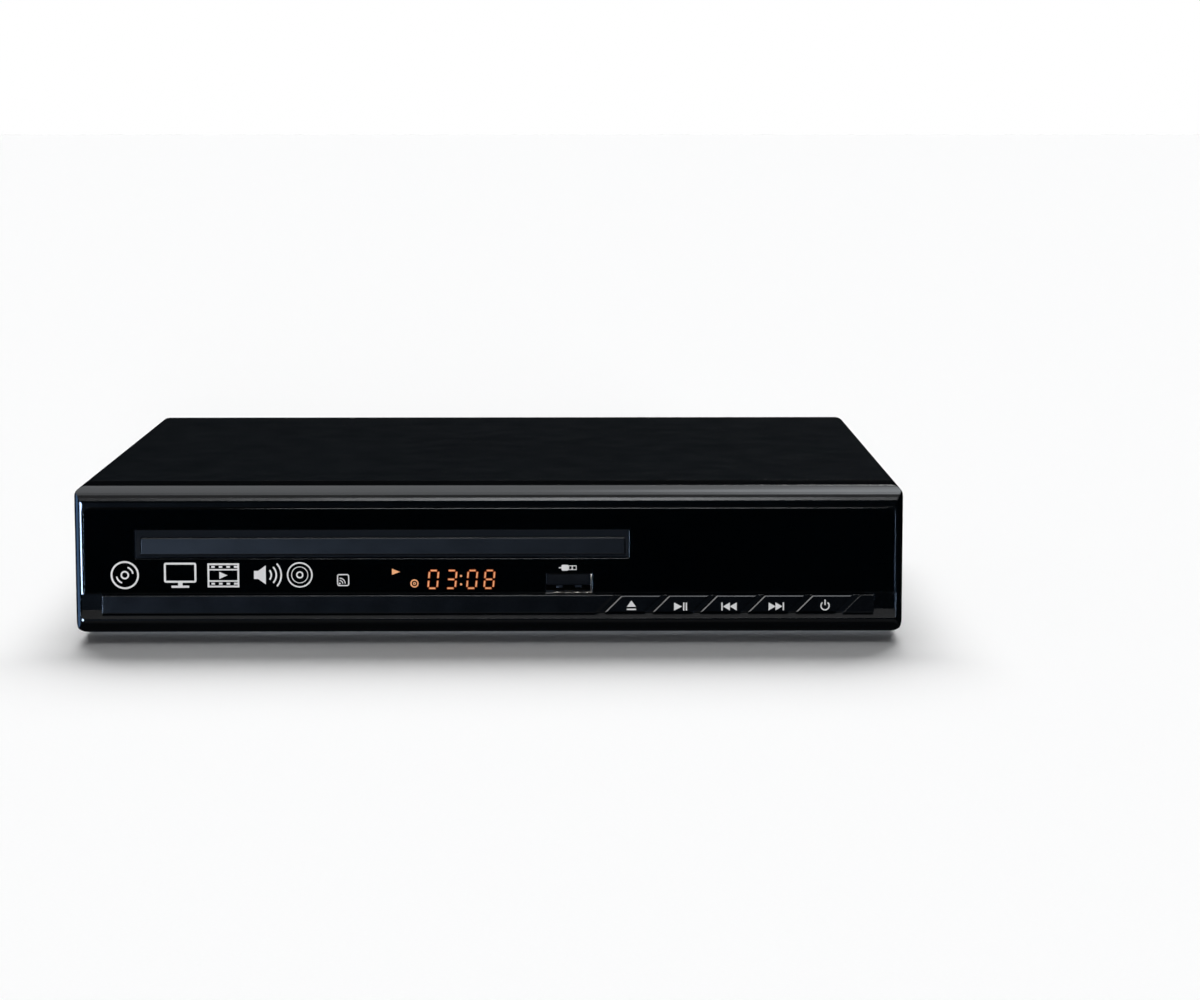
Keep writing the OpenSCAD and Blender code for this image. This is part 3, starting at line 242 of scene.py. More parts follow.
@dataclass(frozen=True)
class Finish:
    """A moulded, painted or metal surface.

    Its colour wanders in soft patches and its gloss in smaller ones. Its relief follows the grain, and its
    edges are eased and worn.
    """

    name: str
    colour: Colour
    roughness: float
    grain: Grain = Grain.MOULDED
    metallic: float = 0.0
    specular: float = 0.5
    relief: float = 0.012
    grain_size: float = 0.35
    patch: Colour | None = None
    gloss_play: float = 0.06
    edge: float = 0.0
    worn: Colour | None = None
    glow: float = 0.0
    patch_size: ClassVar[float] = 30.0
    patch_band: ClassVar[Span] = (0.35, 0.65)
    patch_shade: ClassVar[float] = 0.82
    gloss_size: ClassVar[float] = 9.0
    gloss_band: ClassVar[Span] = (0.3, 0.7)
    scuff_size: ClassVar[float] = 2.0
    scuff_band: ClassVar[Span] = (0.35, 0.7)
    least_scuff: ClassVar[float] = 0.2
    least_roughness: ClassVar[float] = 0.02
    swell: ClassVar[float] = 40.0
    stretches: ClassVar[dict[Grain, Point]] = {
        Grain.BRUSHED: (0.02, 1.0, 1.0), Grain.TURNED: (1.0, 0.05, 1.0)}

    def material(self) -> bpy.types.Material:
        """Build the finish's material, or find it if it is there already.

        Returns:
            The material.
        """
        known = bpy.data.materials.get(self.name)
        if known:
            return known
        surface = Surface(self.name)
        self.compose(surface)
        return surface.material

    def compose(self, graph: Surface) -> None:
        """Join up the colour, the gloss, the relief and the glow.

        Args:
            graph: The material's nodes.
        """
        shader = graph.shader
        graph.feed(shader, Metallic=self.metallic, Specular_IOR_Level=self.specular)
        normal = graph.rounded_normal(self.edge) if self.edge else None
        colour = self.base_colour(graph)
        if self.worn and normal:
            scuffs = graph.ranged(graph.noise(self.scuff_size), self.scuff_band, (self.least_scuff, 1.0))
            colour = graph.blend(graph.maths("MULTIPLY", graph.edges(normal), scuffs), colour, self.worn)
        graph.feed(shader, Base_Color=colour, Roughness=self.dullness(graph))
        bump = graph.add("Bump")
        graph.feed(bump, Height=self.height(graph), Distance=self.relief * MM, Strength=1.0)
        if normal:
            graph.feed(bump, Normal=normal)
        graph.feed(shader, Normal=bump.outputs[0])
        if self.glow:
            graph.feed(shader, Emission_Color=self.colour, Emission_Strength=self.glow)

    def base_colour(self, graph: Graph) -> Socket:
        """Lay soft patches over the colour.

        Args:
            graph: The material's nodes.

        Returns:
            The colour.
        """
        second = self.patch or tuple(self.patch_shade * c for c in self.colour)
        share = graph.ranged(graph.noise(self.patch_size, 3.0), self.patch_band)
        return graph.blend(share, self.colour, second)

    def dullness(self, graph: Graph) -> Socket:
        """Let the roughness wander a little.

        Args:
            graph: The material's nodes.

        Returns:
            The roughness.
        """
        low = max(self.least_roughness, self.roughness - self.gloss_play)
        high = self.roughness + self.gloss_play
        return graph.ranged(graph.noise(self.gloss_size, 3.0), self.gloss_band, (low, high))

    def height(self, graph: Graph) -> Socket:
        """Pattern the relief after the grain.

        Args:
            graph: The material's nodes.

        Returns:
            The relief's height, from 0 to 1.
        """
        if self.grain is Grain.SPANGLED:
            return graph.cells(self.grain_size).outputs["Distance"]
        if self.grain is Grain.POLISHED:
            return graph.noise(self.grain_size * self.swell, 1.0)
        return graph.noise(self.grain_size, stretch=self.stretches.get(self.grain, (1.0, 1.0, 1.0)))


@dataclass(frozen=True)
class SpangledSteel(Finish):
    """Zinc-plated sheet, whose crystals differ in brightness."""

    def base_colour(self, graph: Graph) -> Socket:
        """Return a colour that changes from crystal to crystal."""
        tone = graph.feed(graph.add("SeparateColor"), Color=graph.cells(self.grain_size).outputs["Color"])
        return graph.blend(tone.outputs[0], self.colour, self.patch)


@dataclass(frozen=True)
class DoorLacquer(Finish):
    """Lacquer on the tray's door, whose back and flange behind a plane are matt."""

    plane_y: float = -97.4
    matt: float = 0.85

    def dullness(self, graph: Graph) -> Socket:
        """Raise the roughness behind the plane.

        Args:
            graph: The material's nodes.

        Returns:
            The roughness.
        """
        behind = graph.maths("GREATER_THAN", graph.parts(graph.place())[1], self.plane_y * MM)
        matt = graph.maths("MULTIPLY", behind, self.matt)
        return graph.maths("MAXIMUM", Finish.dullness(self, graph), matt)


@dataclass(frozen=True)
class CircuitBoard(Finish):
    """Laminate under solder mask, with tracks that show through it."""

    track: Colour = (0.05, 0.24, 0.1)
    pad: Colour = (0.55, 0.53, 0.48)
    pad_pitch: float = 3.1
    pad_rim: Span = (0.17, 0.13)

    def base_colour(self, graph: Graph) -> Socket:
        """Draw tracks and pads in the mask's colour.

        Args:
            graph: The material's nodes.

        Returns:
            The colour.
        """
        brick = graph.add("TexBrick", offset=0.37, squash=1.6, squash_frequency=3)
        graph.feed(brick, Vector=graph.place(), Color1=self.colour, Color2=self.patch, Mortar=self.track,
                   Scale=260.0, Mortar_Size=0.035, Brick_Width=1.9, Row_Height=0.32)
        pads = graph.ranged(graph.cells(self.pad_pitch).outputs["Distance"], self.pad_rim)
        return graph.blend(pads, brick.outputs[0], self.pad)


@dataclass(frozen=True)
class JackColours(Finish):
    """Plastic of the phono jacks: one colour for each, by its place on the rear panel."""

    middle: Span = (73.15, 23.95)
    right: Colour = (0.55, 0.02, 0.02)
    picture: Colour = (0.75, 0.5, 0.02)
    digital: Colour = (0.75, 0.2, 0.02)

    def base_colour(self, graph: Graph) -> Socket:
        """Colour each jack by the quarter that it is in.

        Args:
            graph: The material's nodes.

        Returns:
            The colour.
        """
        x, _, z = graph.parts(graph.place())
        beside = graph.maths("GREATER_THAN", x, self.middle[0] * MM)
        above = graph.maths("GREATER_THAN", z, self.middle[1] * MM)
        low = graph.blend(beside, self.colour, self.right)
        return graph.blend(above, low, graph.blend(beside, self.picture, self.digital))


@dataclass(frozen=True)
class SleevedCan(Finish):
    """A capacitor: printed sleeve, with a bare metal top."""

    top: Colour = (0.6, 0.6, 0.6)
    top_band: Span = (0.9, 0.95)

    def base_colour(self, graph: Graph) -> Socket:
        """Return the sleeve's colour, and the metal's where it faces up."""
        up = graph.parts(graph.add("NewGeometry").outputs["Normal"])[2]
        return graph.blend(graph.ranged(up, self.top_band), self.colour, self.top)


@dataclass(frozen=True)
class ClearLens(Finish):
    """Coated lens glass."""

    def compose(self, graph: Surface) -> None:
        """Set the glass up."""
        graph.feed(graph.shader, Base_Color=self.base_colour(graph), Roughness=self.roughness,
                   Transmission_Weight=0.85, Coat_Weight=0.6, IOR=1.52)


class Finishes:
    """Every finish of the player."""

    cover = Finish("cover_paint", (0.0023, 0.0042, 0.0062), 0.2, relief=0.005, grain_size=0.3,
                   patch=(0.0031, 0.0052, 0.0074), gloss_play=0.02, edge=0.3, worn=(0.012, 0.014, 0.017))
    bezel = Finish("bezel_plastic", (0.0004, 0.0009, 0.0016), 0.15, relief=0.002, grain_size=0.5,
                   patch=(0.0006, 0.0012, 0.002), gloss_play=0.01, edge=0.2)
    fascia = Finish("fascia_gloss_plastic", (0.0001, 0.0005, 0.0009), 0.05, Grain.POLISHED, relief=0.003,
                    patch=(0.0002, 0.0007, 0.0012), gloss_play=0.02, edge=0.2)
    strip = Finish("strip_lacquer", (0.0008, 0.0013, 0.002), 0.2, relief=0.003,
                   patch=(0.001, 0.0016, 0.0024), gloss_play=0.02, edge=0.45)
    cap = Finish("key_lacquer", (0.0006, 0.0011, 0.0018), 0.2, relief=0.002, patch=(0.0008, 0.0013, 0.0021),
                 gloss_play=0.02)
    door = DoorLacquer("door_lacquer", (0.0012, 0.0017, 0.0024), 0.3, relief=0.003,
                       patch=(0.0016, 0.0021, 0.0029), gloss_play=0.02, edge=0.4)
    rubber = Finish("foot_rubber_matt", (0.018, 0.018, 0.018), 0.85, relief=0.03, grain_size=0.25,
                    specular=0.25, patch=(0.03, 0.029, 0.028))
    damper = Finish("damper_rubber_matt", (0.07, 0.055, 0.055), 0.8, relief=0.02, specular=0.3)
    belt = Finish("belt_rubber_matt", (0.02, 0.02, 0.02), 0.75, relief=0.01, specular=0.3)
    zinc = SpangledSteel("zinc_sheet", (0.48, 0.49, 0.5), 0.38, Grain.SPANGLED, metallic=1.0, relief=0.004,
                         grain_size=6.0, patch=(0.62, 0.63, 0.64))
    motor = Finish("motor_plate", (0.5, 0.5, 0.49), 0.3, Grain.TURNED, metallic=1.0, relief=0.003,
                   grain_size=0.2)
    nickel = Finish("nickel_plate", (0.66, 0.63, 0.57), 0.18, Grain.BRUSHED, metallic=1.0, relief=0.001,
                    patch=(0.58, 0.55, 0.5), edge=0.1)
    # Port shell: nickel darkened to paint the shade inside the port's mouth, not a dark metal of its own.
    shade_darkened_nickel = Finish("shaded_nickel", (0.06, 0.06, 0.06), 0.6, Grain.BRUSHED, metallic=1.0,
                         relief=0.001)
    gold = Finish("gold_flash", (0.83, 0.6, 0.24), 0.22, Grain.BRUSHED, metallic=1.0, relief=0.001)
    screw = Finish("screw_plate", (0.42, 0.42, 0.43), 0.28, Grain.TURNED, metallic=1.0, relief=0.003,
                   patch=(0.3, 0.3, 0.31))
    black_screw = Finish("blackened_screw", (0.035, 0.036, 0.038), 0.3, Grain.TURNED, metallic=0.8,
                         relief=0.004, patch=(0.06, 0.06, 0.062))
    brass = Finish("turned_brass", (0.62, 0.45, 0.19), 0.25, Grain.TURNED, metallic=1.0, relief=0.004)
    aluminium = Finish("extruded_aluminium", (0.62, 0.62, 0.63), 0.35, Grain.BRUSHED, metallic=1.0,
                       relief=0.006)
    cast = Finish("cast_zinc", (0.3, 0.31, 0.33), 0.5, metallic=0.9, relief=0.03, grain_size=0.5)
    frame_plastic = Finish("loader_plastic", (0.028, 0.028, 0.031), 0.48, relief=0.02, grain_size=0.3,
                           specular=0.4, patch=(0.036, 0.036, 0.04))
    tray = Finish("tray_plastic", (0.017, 0.0175, 0.02), 0.38, relief=0.012, grain_size=0.22, specular=0.4,
                  patch=(0.021, 0.022, 0.025), edge=0.25, worn=(0.06, 0.062, 0.066))
    hub = Finish("hub_plastic", (0.03, 0.03, 0.031), 0.42, relief=0.01, specular=0.4)
    pad = Finish("hub_pad_rubber", (0.012, 0.012, 0.013), 0.7, relief=0.02, specular=0.3)
    acetal = Finish("gear_acetal_wax", (0.72, 0.69, 0.6), 0.42, relief=0.005, patch=(0.67, 0.63, 0.53))
    slider = Finish("slider_acetal_wax", (0.68, 0.68, 0.65), 0.42, relief=0.005)
    puck = Finish("puck_plastic", (0.74, 0.74, 0.71), 0.4, relief=0.006)
    tongue = Finish("port_tongue_plastic", (0.004, 0.004, 0.0045), 0.8, relief=0.003, specular=0.3)
    socket = Finish("socket_black_plastic", (0.022, 0.022, 0.023), 0.45, relief=0.012, specular=0.4)
    display = Finish("display_filter", (0.006, 0.0055, 0.0055), 0.35, relief=0.003, specular=0.3)
    receiver = Finish("receiver_window", (0.012, 0.003, 0.005), 0.12, Grain.POLISHED, relief=0.002)
    switch = Finish("switch_case", (0.2, 0.2, 0.21), 0.4, relief=0.006)
    chip = Finish("chip_resin", (0.022, 0.022, 0.023), 0.55, relief=0.01, grain_size=0.15)
    can = SleevedCan("capacitor_can", (0.02, 0.03, 0.09), 0.3, relief=0.004)
    tape = Finish("winding_tape", (0.55, 0.37, 0.03), 0.4, Grain.TURNED, relief=0.02, grain_size=0.6)
    green = CircuitBoard("green_board", (0.008, 0.07, 0.028), 0.25, relief=0.01, patch=(0.01, 0.085, 0.034))
    brown = CircuitBoard("brown_board", (0.3, 0.17, 0.06), 0.5, relief=0.01, patch=(0.34, 0.2, 0.075),
                         track=(0.25, 0.13, 0.045))
    film = Finish("cable_film", (0.72, 0.75, 0.78), 0.3, Grain.BRUSHED, relief=0.02, grain_size=1.0)
    jacks = JackColours("jack_colours", (0.78, 0.78, 0.76), 0.32, relief=0.004)
    lens = ClearLens("lens_coating", (0.3, 0.42, 0.8), 0.03)
    ink = Finish("white_print", (0.86, 0.86, 0.86), 0.5, relief=0.003, grain_size=0.15, specular=0.3,
                 patch=(0.78, 0.78, 0.78))
    amber = Finish("amber_segment", (0.8, 0.38, 0.18), 0.4, relief=0.002, specular=0.1,
                   patch=(0.76, 0.34, 0.15), glow=0.3)
    # Dim glow painted round each lit bar of the display, for the light that spreads in its filter.
    painted_halo_glow = Finish("amber_glow", (0.36, 0.06, 0.008), 0.4, relief=0.002, specular=0.1,
                   patch=(0.3, 0.05, 0.006), glow=0.12)


# ---- Modelling ----


class Bench:
    """The moves that the pieces are modelled with."""

    @staticmethod
    def clear() -> None:
        """Leave edit mode and deselect everything."""
        if bpy.context.mode != "OBJECT":
            bpy.ops.object.mode_set(mode="OBJECT")
        bpy.ops.object.select_all(action="DESELECT")

    @staticmethod
    def hold(piece: Piece) -> None:
        """Select one piece alone and make it active.

        Args:
            piece: The piece.
        """
        Bench.clear()
        piece.select_set(True)
        bpy.context.view_layer.objects.active = piece

    @staticmethod
    def settle(name: str) -> Piece:
        """Name the primitive just added, and put its place, turn and size in its mesh.

        Args:
            name: Name of the piece.

        Returns:
            The piece.
        """
        piece = bpy.context.object
        piece.name = piece.data.name = name
        bpy.ops.object.transform_apply(location=True, rotation=True, scale=True)
        return piece

    @staticmethod
    def facing(axis: Point) -> Euler:
        """Return the turn that lays the Z axis along another."""
        return Vector(axis).to_track_quat("Z", "Y").to_euler()

    @staticmethod
    def slab(name: str, x: Span, y: Span, z: Span) -> Piece:
        """Add a block that fills three ranges.

        Args:
            name: Name of the piece.
            x: Range along X.
            y: Range along Y.
            z: Range along Z.

        Returns:
            The piece.
        """
        Bench.clear()
        spans = (x, y, z)
        bpy.ops.mesh.primitive_cube_add(
            size=1.0, location=[(low + high) / 2 * MM for low, high in spans],
            scale=[(high - low) * MM for low, high in spans])
        return Bench.settle(name)

    @staticmethod
    def patch(name: str, area: Area, face: float, half: float = 0.03, lift: float = 0.0) -> Piece:
        """Add a printed patch on a face that looks along Y.

        Args:
            name: Name of the piece.
            area: Its ranges along X and Z.
            face: Where the face is along Y.
            half: Half its thickness.
            lift: How far its front stands forward of other prints.

        Returns:
            The piece.
        """
        return Bench.slab(name, area[0], (face - half - lift, face + half), area[1])

    @staticmethod
    def rod(name: str, start: Point, radius: float, length: float, sides: int) -> Piece:
        """Add a round bar along Y.

        Args:
            name: Name of the piece.
            start: Middle of its front end.
            radius: Its radius.
            length: Its length.
            sides: Number of facets around it.

        Returns:
            The piece.
        """
        Bench.clear()
        bpy.ops.mesh.primitive_cylinder_add(
            vertices=sides, radius=radius * MM, depth=length * MM, rotation=Bench.facing(Y_AXIS),
            location=(Vector(start) + Vector(Y_AXIS) * length / 2) * MM)
        return Bench.settle(name)

    @staticmethod
    def ring(name: str, middle: Point, radius: float, width: float, depth: float = 0.1, axis: Point = Y_AXIS,
             sides: int = 40) -> Piece:
        """Add a flattened ring.

        Args:
            name: Name of the piece.
            middle: Middle of the ring.
            radius: Radius of its middle line.
            width: Width of its face.
            depth: Thickness along its axis.
            axis: The ring's axis.
            sides: Number of segments around it.

        Returns:
            The piece.
        """
        Bench.clear()
        bpy.ops.mesh.primitive_torus_add(
            major_radius=radius * MM, minor_radius=width / 2 * MM, major_segments=sides, minor_segments=8,
            location=Vector(middle) * MM, rotation=Bench.facing(axis))
        piece = Bench.settle(name)
        squeeze = [1 - abs(a) * (1 - depth / width) for a in axis]
        with Bench.editing(piece, "VERT"):
            bpy.ops.mesh.select_all(action="SELECT")
            bpy.ops.transform.resize(value=squeeze, center_override=Vector(middle) * MM)
        return piece

    @staticmethod
    def arc(name: str, middle: Point, radius: float, width: float, start: float, sweep: float,
            depth: float = 0.06) -> Piece:
        """Spin a flat bar round part of a circle that faces along Y.

        Args:
            name: Name of the piece.
            middle: Middle of the circle.
            radius: Radius of the bar's middle line.
            width: Width of the bar.
            start: Angle of its first end from straight up, in degrees.
            sweep: Angle that it covers, in degrees.
            depth: Thickness along Y.

        Returns:
            The piece.
        """
        Bench.clear()
        angle = math.radians(start)
        centre = Vector(middle) * MM
        steps = max(6, round(sweep / 15))
        bpy.ops.mesh.primitive_plane_add(
            size=1.0, location=centre + Vector((math.sin(angle), 0, math.cos(angle))) * radius * MM,
            rotation=(0, math.pi / 2 + angle, 0))
        bpy.context.object.scale = (width * MM, depth * MM, 1)
        piece = Bench.settle(name)
        with Bench.editing(piece, "FACE"):
            bpy.ops.mesh.select_all(action="SELECT")
            bpy.ops.mesh.spin(steps=steps, angle=-math.radians(sweep), center=centre, axis=Y_AXIS)
            bpy.ops.mesh.select_all(action="SELECT")
            bpy.ops.mesh.remove_doubles(threshold=MERGE_DISTANCE)
            bpy.ops.mesh.normals_make_consistent(inside=False)
        return piece

    @staticmethod
    @contextmanager
    def editing(piece: Piece, kind: str) -> Iterator[None]:
        """Open one piece in edit mode with nothing selected.

        Args:
            piece: The piece.
            kind: What is picked, VERT, EDGE or FACE.

        Yields:
            Nothing: the piece is the one being edited.
        """
        Bench.hold(piece)
        bpy.ops.object.mode_set(mode="EDIT")
        bpy.ops.mesh.select_mode(type=kind)
        bpy.ops.mesh.select_all(action="DESELECT")
        yield
        Bench.clear()

    @staticmethod
    def pick(piece: Piece, kind: str, test: Callable[[Vector, Vector], bool]) -> None:
        """Select what passes a test, in the piece being edited.

        Args:
            piece: The piece.
            kind: VERT, EDGE or FACE.
            test: Told a middle in millimetres, and a normal or an edge's direction.
        """
        mesh = bmesh.from_edit_mesh(piece.data)
        mesh.normal_update()
        if kind == "VERT":
            told = [(v, v.co, v.normal) for v in mesh.verts]
        elif kind == "EDGE":
            told = [(e, (e.verts[0].co + e.verts[1].co) / 2, (e.verts[1].co - e.verts[0].co).normalized())
                    for e in mesh.edges]
        else:
            told = [(f, f.calc_center_median(), f.normal) for f in mesh.faces]
        for item, middle, way in told:
            if test(middle / MM, way):
                item.select_set(True)
        mesh.select_flush_mode()
        bmesh.update_edit_mesh(piece.data)

    @staticmethod
    def lean(piece: Piece, above: float, shift: float) -> None:
        """Move all points above a height along X.

        Args:
            piece: The piece.
            above: The height.
            shift: How far they move.
        """
        with Bench.editing(piece, "VERT"):
            Bench.pick(piece, "VERT", lambda at, way: at.z > above)
            bpy.ops.transform.translate(value=(shift * MM, 0, 0))

    @staticmethod
    def pinch(piece: Piece, test: Callable[[Vector, Vector], bool], keep: Point) -> Piece:
        """Draw the picked points together, so that a block ends in an edge.

        Args:
            piece: The piece.
            test: Which points.
            keep: For each axis, how much of their spread stays.

        Returns:
            The piece.
        """
        with Bench.editing(piece, "VERT"):
            Bench.pick(piece, "VERT", test)
            chosen = [v.co for v in bmesh.from_edit_mesh(piece.data).verts if v.select]
            bpy.ops.transform.resize(value=keep, center_override=sum(chosen, Vector()) / len(chosen))
            bpy.ops.mesh.select_all(action="SELECT")
            bpy.ops.mesh.remove_doubles(threshold=MERGE_DISTANCE)
        return piece

    @staticmethod
    def round_corners(piece: Piece, radius: float, steps: int = 4) -> Piece:
        """Bevel the edges that run along Y.

        Args:
            piece: The piece.
            radius: Radius of the rounding.
            steps: Number of facets in it.

        Returns:
            The piece.
        """
        with Bench.editing(piece, "EDGE"):
            Bench.pick(piece, "EDGE", lambda at, run: abs(run.y) > 0.99)
            bpy.ops.mesh.bevel(offset=radius * MM, segments=steps, profile=0.5, affect="EDGES")
        return piece

    @staticmethod
    def hollow(piece: Piece, width: float) -> Piece:
        """Cut a plate through along Y, so that a frame of a width is left round it.

        Args:
            piece: The plate.
            width: Width of the frame.

        Returns:
            The piece.
        """
        with Bench.editing(piece, "FACE"):
            Bench.pick(piece, "FACE", lambda at, normal: abs(normal.y) > 0.99)
            bpy.ops.mesh.inset(thickness=width * MM, depth=0.0, use_even_offset=True)
            bpy.ops.mesh.bridge_edge_loops()
            bpy.ops.mesh.select_all(action="SELECT")
            bpy.ops.mesh.normals_make_consistent(inside=False)
        return piece

    @staticmethod
    def ease(piece: Piece, radius: float, steps: int = 2, angle: float = 40.0) -> Piece:
        """Round every sharp edge with a bevel modifier, and smooth the shading.

        Args:
            piece: The piece.
            radius: Radius of the rounding.
            steps: Number of facets in it.
            angle: Least angle of an edge that is rounded, in degrees.

        Returns:
            The piece.
        """
        Bench.hold(piece)
        modifier = piece.modifiers.new("eased_edges", "BEVEL")
        modifier.width = radius * MM
        modifier.segments = steps
        modifier.limit_method = "ANGLE"
        modifier.angle_limit = math.radians(angle)
        modifier.harden_normals = True
        bpy.ops.object.modifier_apply(modifier=modifier.name)
        bpy.ops.object.shade_smooth_by_angle(angle=math.radians(angle))
        Bench.clear()
        return piece

    @staticmethod
    def cut(piece: Piece, tool: Piece) -> None:
        """Cut a tool's shape out of a piece, and remove the tool.

        Args:
            piece: The piece.
            tool: The tool.
        """
        Bench.hold(piece)
        modifier = piece.modifiers.new("cut", "BOOLEAN")
        modifier.object = tool
        modifier.operation = "DIFFERENCE"
        modifier.solver = "EXACT"
        bpy.ops.object.modifier_apply(modifier=modifier.name)
        bpy.data.objects.remove(tool)
        Bench.clear()

    @staticmethod
    def join(name: str, pieces: list[Piece]) -> Piece:
        """Make one piece of several.

        Args:
            name: Name of the whole.
            pieces: The parts.

        Returns:
            The whole.
        """
        Bench.hold(pieces[0])
        for piece in pieces[1:]:
            piece.select_set(True)
        if len(pieces) > 1:
            bpy.ops.object.join()
        whole = bpy.context.object
        whole.name = whole.data.name = name
        Bench.clear()
        return whole

    @staticmethod
    def copy(piece: Piece, name: str, change: Matrix) -> Piece:
        """Copy a piece with its own mesh.

        Args:
            piece: The piece.
            name: Name of the copy.
            change: How the copy's mesh moves, in metres.

        Returns:
            The copy.
        """
        twin = piece.copy()
        twin.data = piece.data.copy()
        twin.name = twin.data.name = name
        twin.data.transform(change)
        bpy.context.scene.collection.objects.link(twin)
        return twin


# ---- Sub-assemblies ----


class SubAssembly:
    """Parts that are modelled and dressed together."""

    finishes: ClassVar[dict[str, Finish]] = {}

    def build(self) -> None:
        """Model nothing, where the frame holds every part."""

    def dress(self) -> None:
        """Give the frame's parts their finish."""
        for name, finish in self.finishes.items():
            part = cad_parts[name]
            material = finish.material()
            if not part.material_slots:
                part.data.materials.append(material)
            for place in part.material_slots:
                place.material = material
            log.info("%s: %s", name, finish.name)

    @staticmethod
    def fit(piece: Piece, finish: Finish, slot: str, body: str = "case") -> None:
        """Dress a new piece and fix it to what carries it.

        Args:
            piece: The piece.
            finish: Its finish.
            slot: Name of the record's material slot for the piece; not used.
            body: Body of the frame that it rides on.
        """
        piece.data.materials.clear()
        piece.data.materials.append(finish.material())
        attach(piece, body)
        log.info("%s: %d faces, on %s", piece.name, len(piece.data.polygons), body)


@dataclass
class Case(SubAssembly):
    """Sheet-metal case with its feet and screws."""

    finishes: ClassVar[dict[str, Finish]] = {
        "top_cover": Finishes.cover, "rear_panel": Finishes.cover, "bottom_pan": Finishes.zinc,
        "rubber_feet": Finishes.rubber}
    rear_y: float = 90.5
    panel_y: float = 89.7
    side_x: float = 112.5
    side_sunk: float = 1.32
    side_size: float = 0.535
    rear_screws: tuple[Span, ...] = ((-92.0, 38.5), (34.0, 38.5), (104.0, 38.5))
    panel_screws: tuple[Span, ...] = ((-100.0, 8.6), (-40.0, 8.6), (30.0, 8.6))
    side_screws: tuple[Span, ...] = ((-60.0, 11.0), (70.0, 11.0))
    rear_turn: float = 0.5
    side_turn: float = 0.7
    head_r: float = 2.7
    head_h: float = 1.3
    head_inset: float = 0.45
    head_dome: float = 0.32
    cross_arm: Span = (-1.35, 1.35)
    cross_width: Span = (-0.24, 0.24)
    cross_y: Span = (0.75, 2.4)
    shank_y: Span = (-2.5, 0.1)
    shank_r: float = 1.2

    def build(self) -> None:
        """Model the screws' heads, and let them stand for the plain ones."""
        heads = []
        first = self.head("screw_head")
        for index, (x, z) in enumerate(self.rear_screws + self.panel_screws):
            y = self.rear_y if index < len(self.rear_screws) else self.panel_y
            spot = Matrix.Translation(Vector((x, y, z)) * MM)
            turn = Matrix.Rotation(self.rear_turn * index, 4, "Y")
            heads.append(Bench.copy(first, f"rear_screw_{index}", spot @ turn))
        for side in (-1, 1):
            for index, (y, z) in enumerate(self.side_screws):
                spot = Matrix.Translation(Vector((side * (self.side_x - self.side_sunk), y, z)) * MM)
                outwards = Matrix.Rotation(-side * math.pi / 2, 4, "Z")
                turn = Matrix.Rotation(self.side_turn * index, 4, "Y")
                small = Matrix.Scale(self.side_size, 4)
                heads.append(Bench.copy(first, f"side_screw_{index}", spot @ outwards @ turn @ small))
        bpy.data.objects.remove(first)
        whole = Bench.join("case_screws", heads)
        self.fit(whole, Finishes.black_screw, "screw_steel")
        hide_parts("cover_screws")

    def head(self, name: str) -> Piece:
        """Model a domed screw head with a cross recess, facing +Y from the origin, with its shank behind it.

        Args:
            name: Name of the piece.

        Returns:
            The piece.
        """
        head = Bench.rod(name, (0, 0, 0), self.head_r, self.head_h, sides=24)
        with Bench.editing(head, "FACE"):
            Bench.pick(head, "FACE", lambda at, way: way.y > 0.9)
            bpy.ops.mesh.inset(thickness=self.head_inset * MM, depth=0.0)
            bpy.ops.transform.translate(value=(0, self.head_dome * MM, 0))
        Bench.ease(head, 0.28, steps=3, angle=20)
        Bench.cut(head, Bench.slab("cross_a", self.cross_arm, self.cross_y, self.cross_width))
        Bench.cut(head, Bench.slab("cross_b", self.cross_width, self.cross_y, self.cross_arm))
        back, front = self.shank_y
        shank = Bench.rod("shank", (0, back, 0), self.shank_r, front - back, sides=16)
        return Bench.join(name, [head, Bench.ease(shank, 0.2, steps=1)])


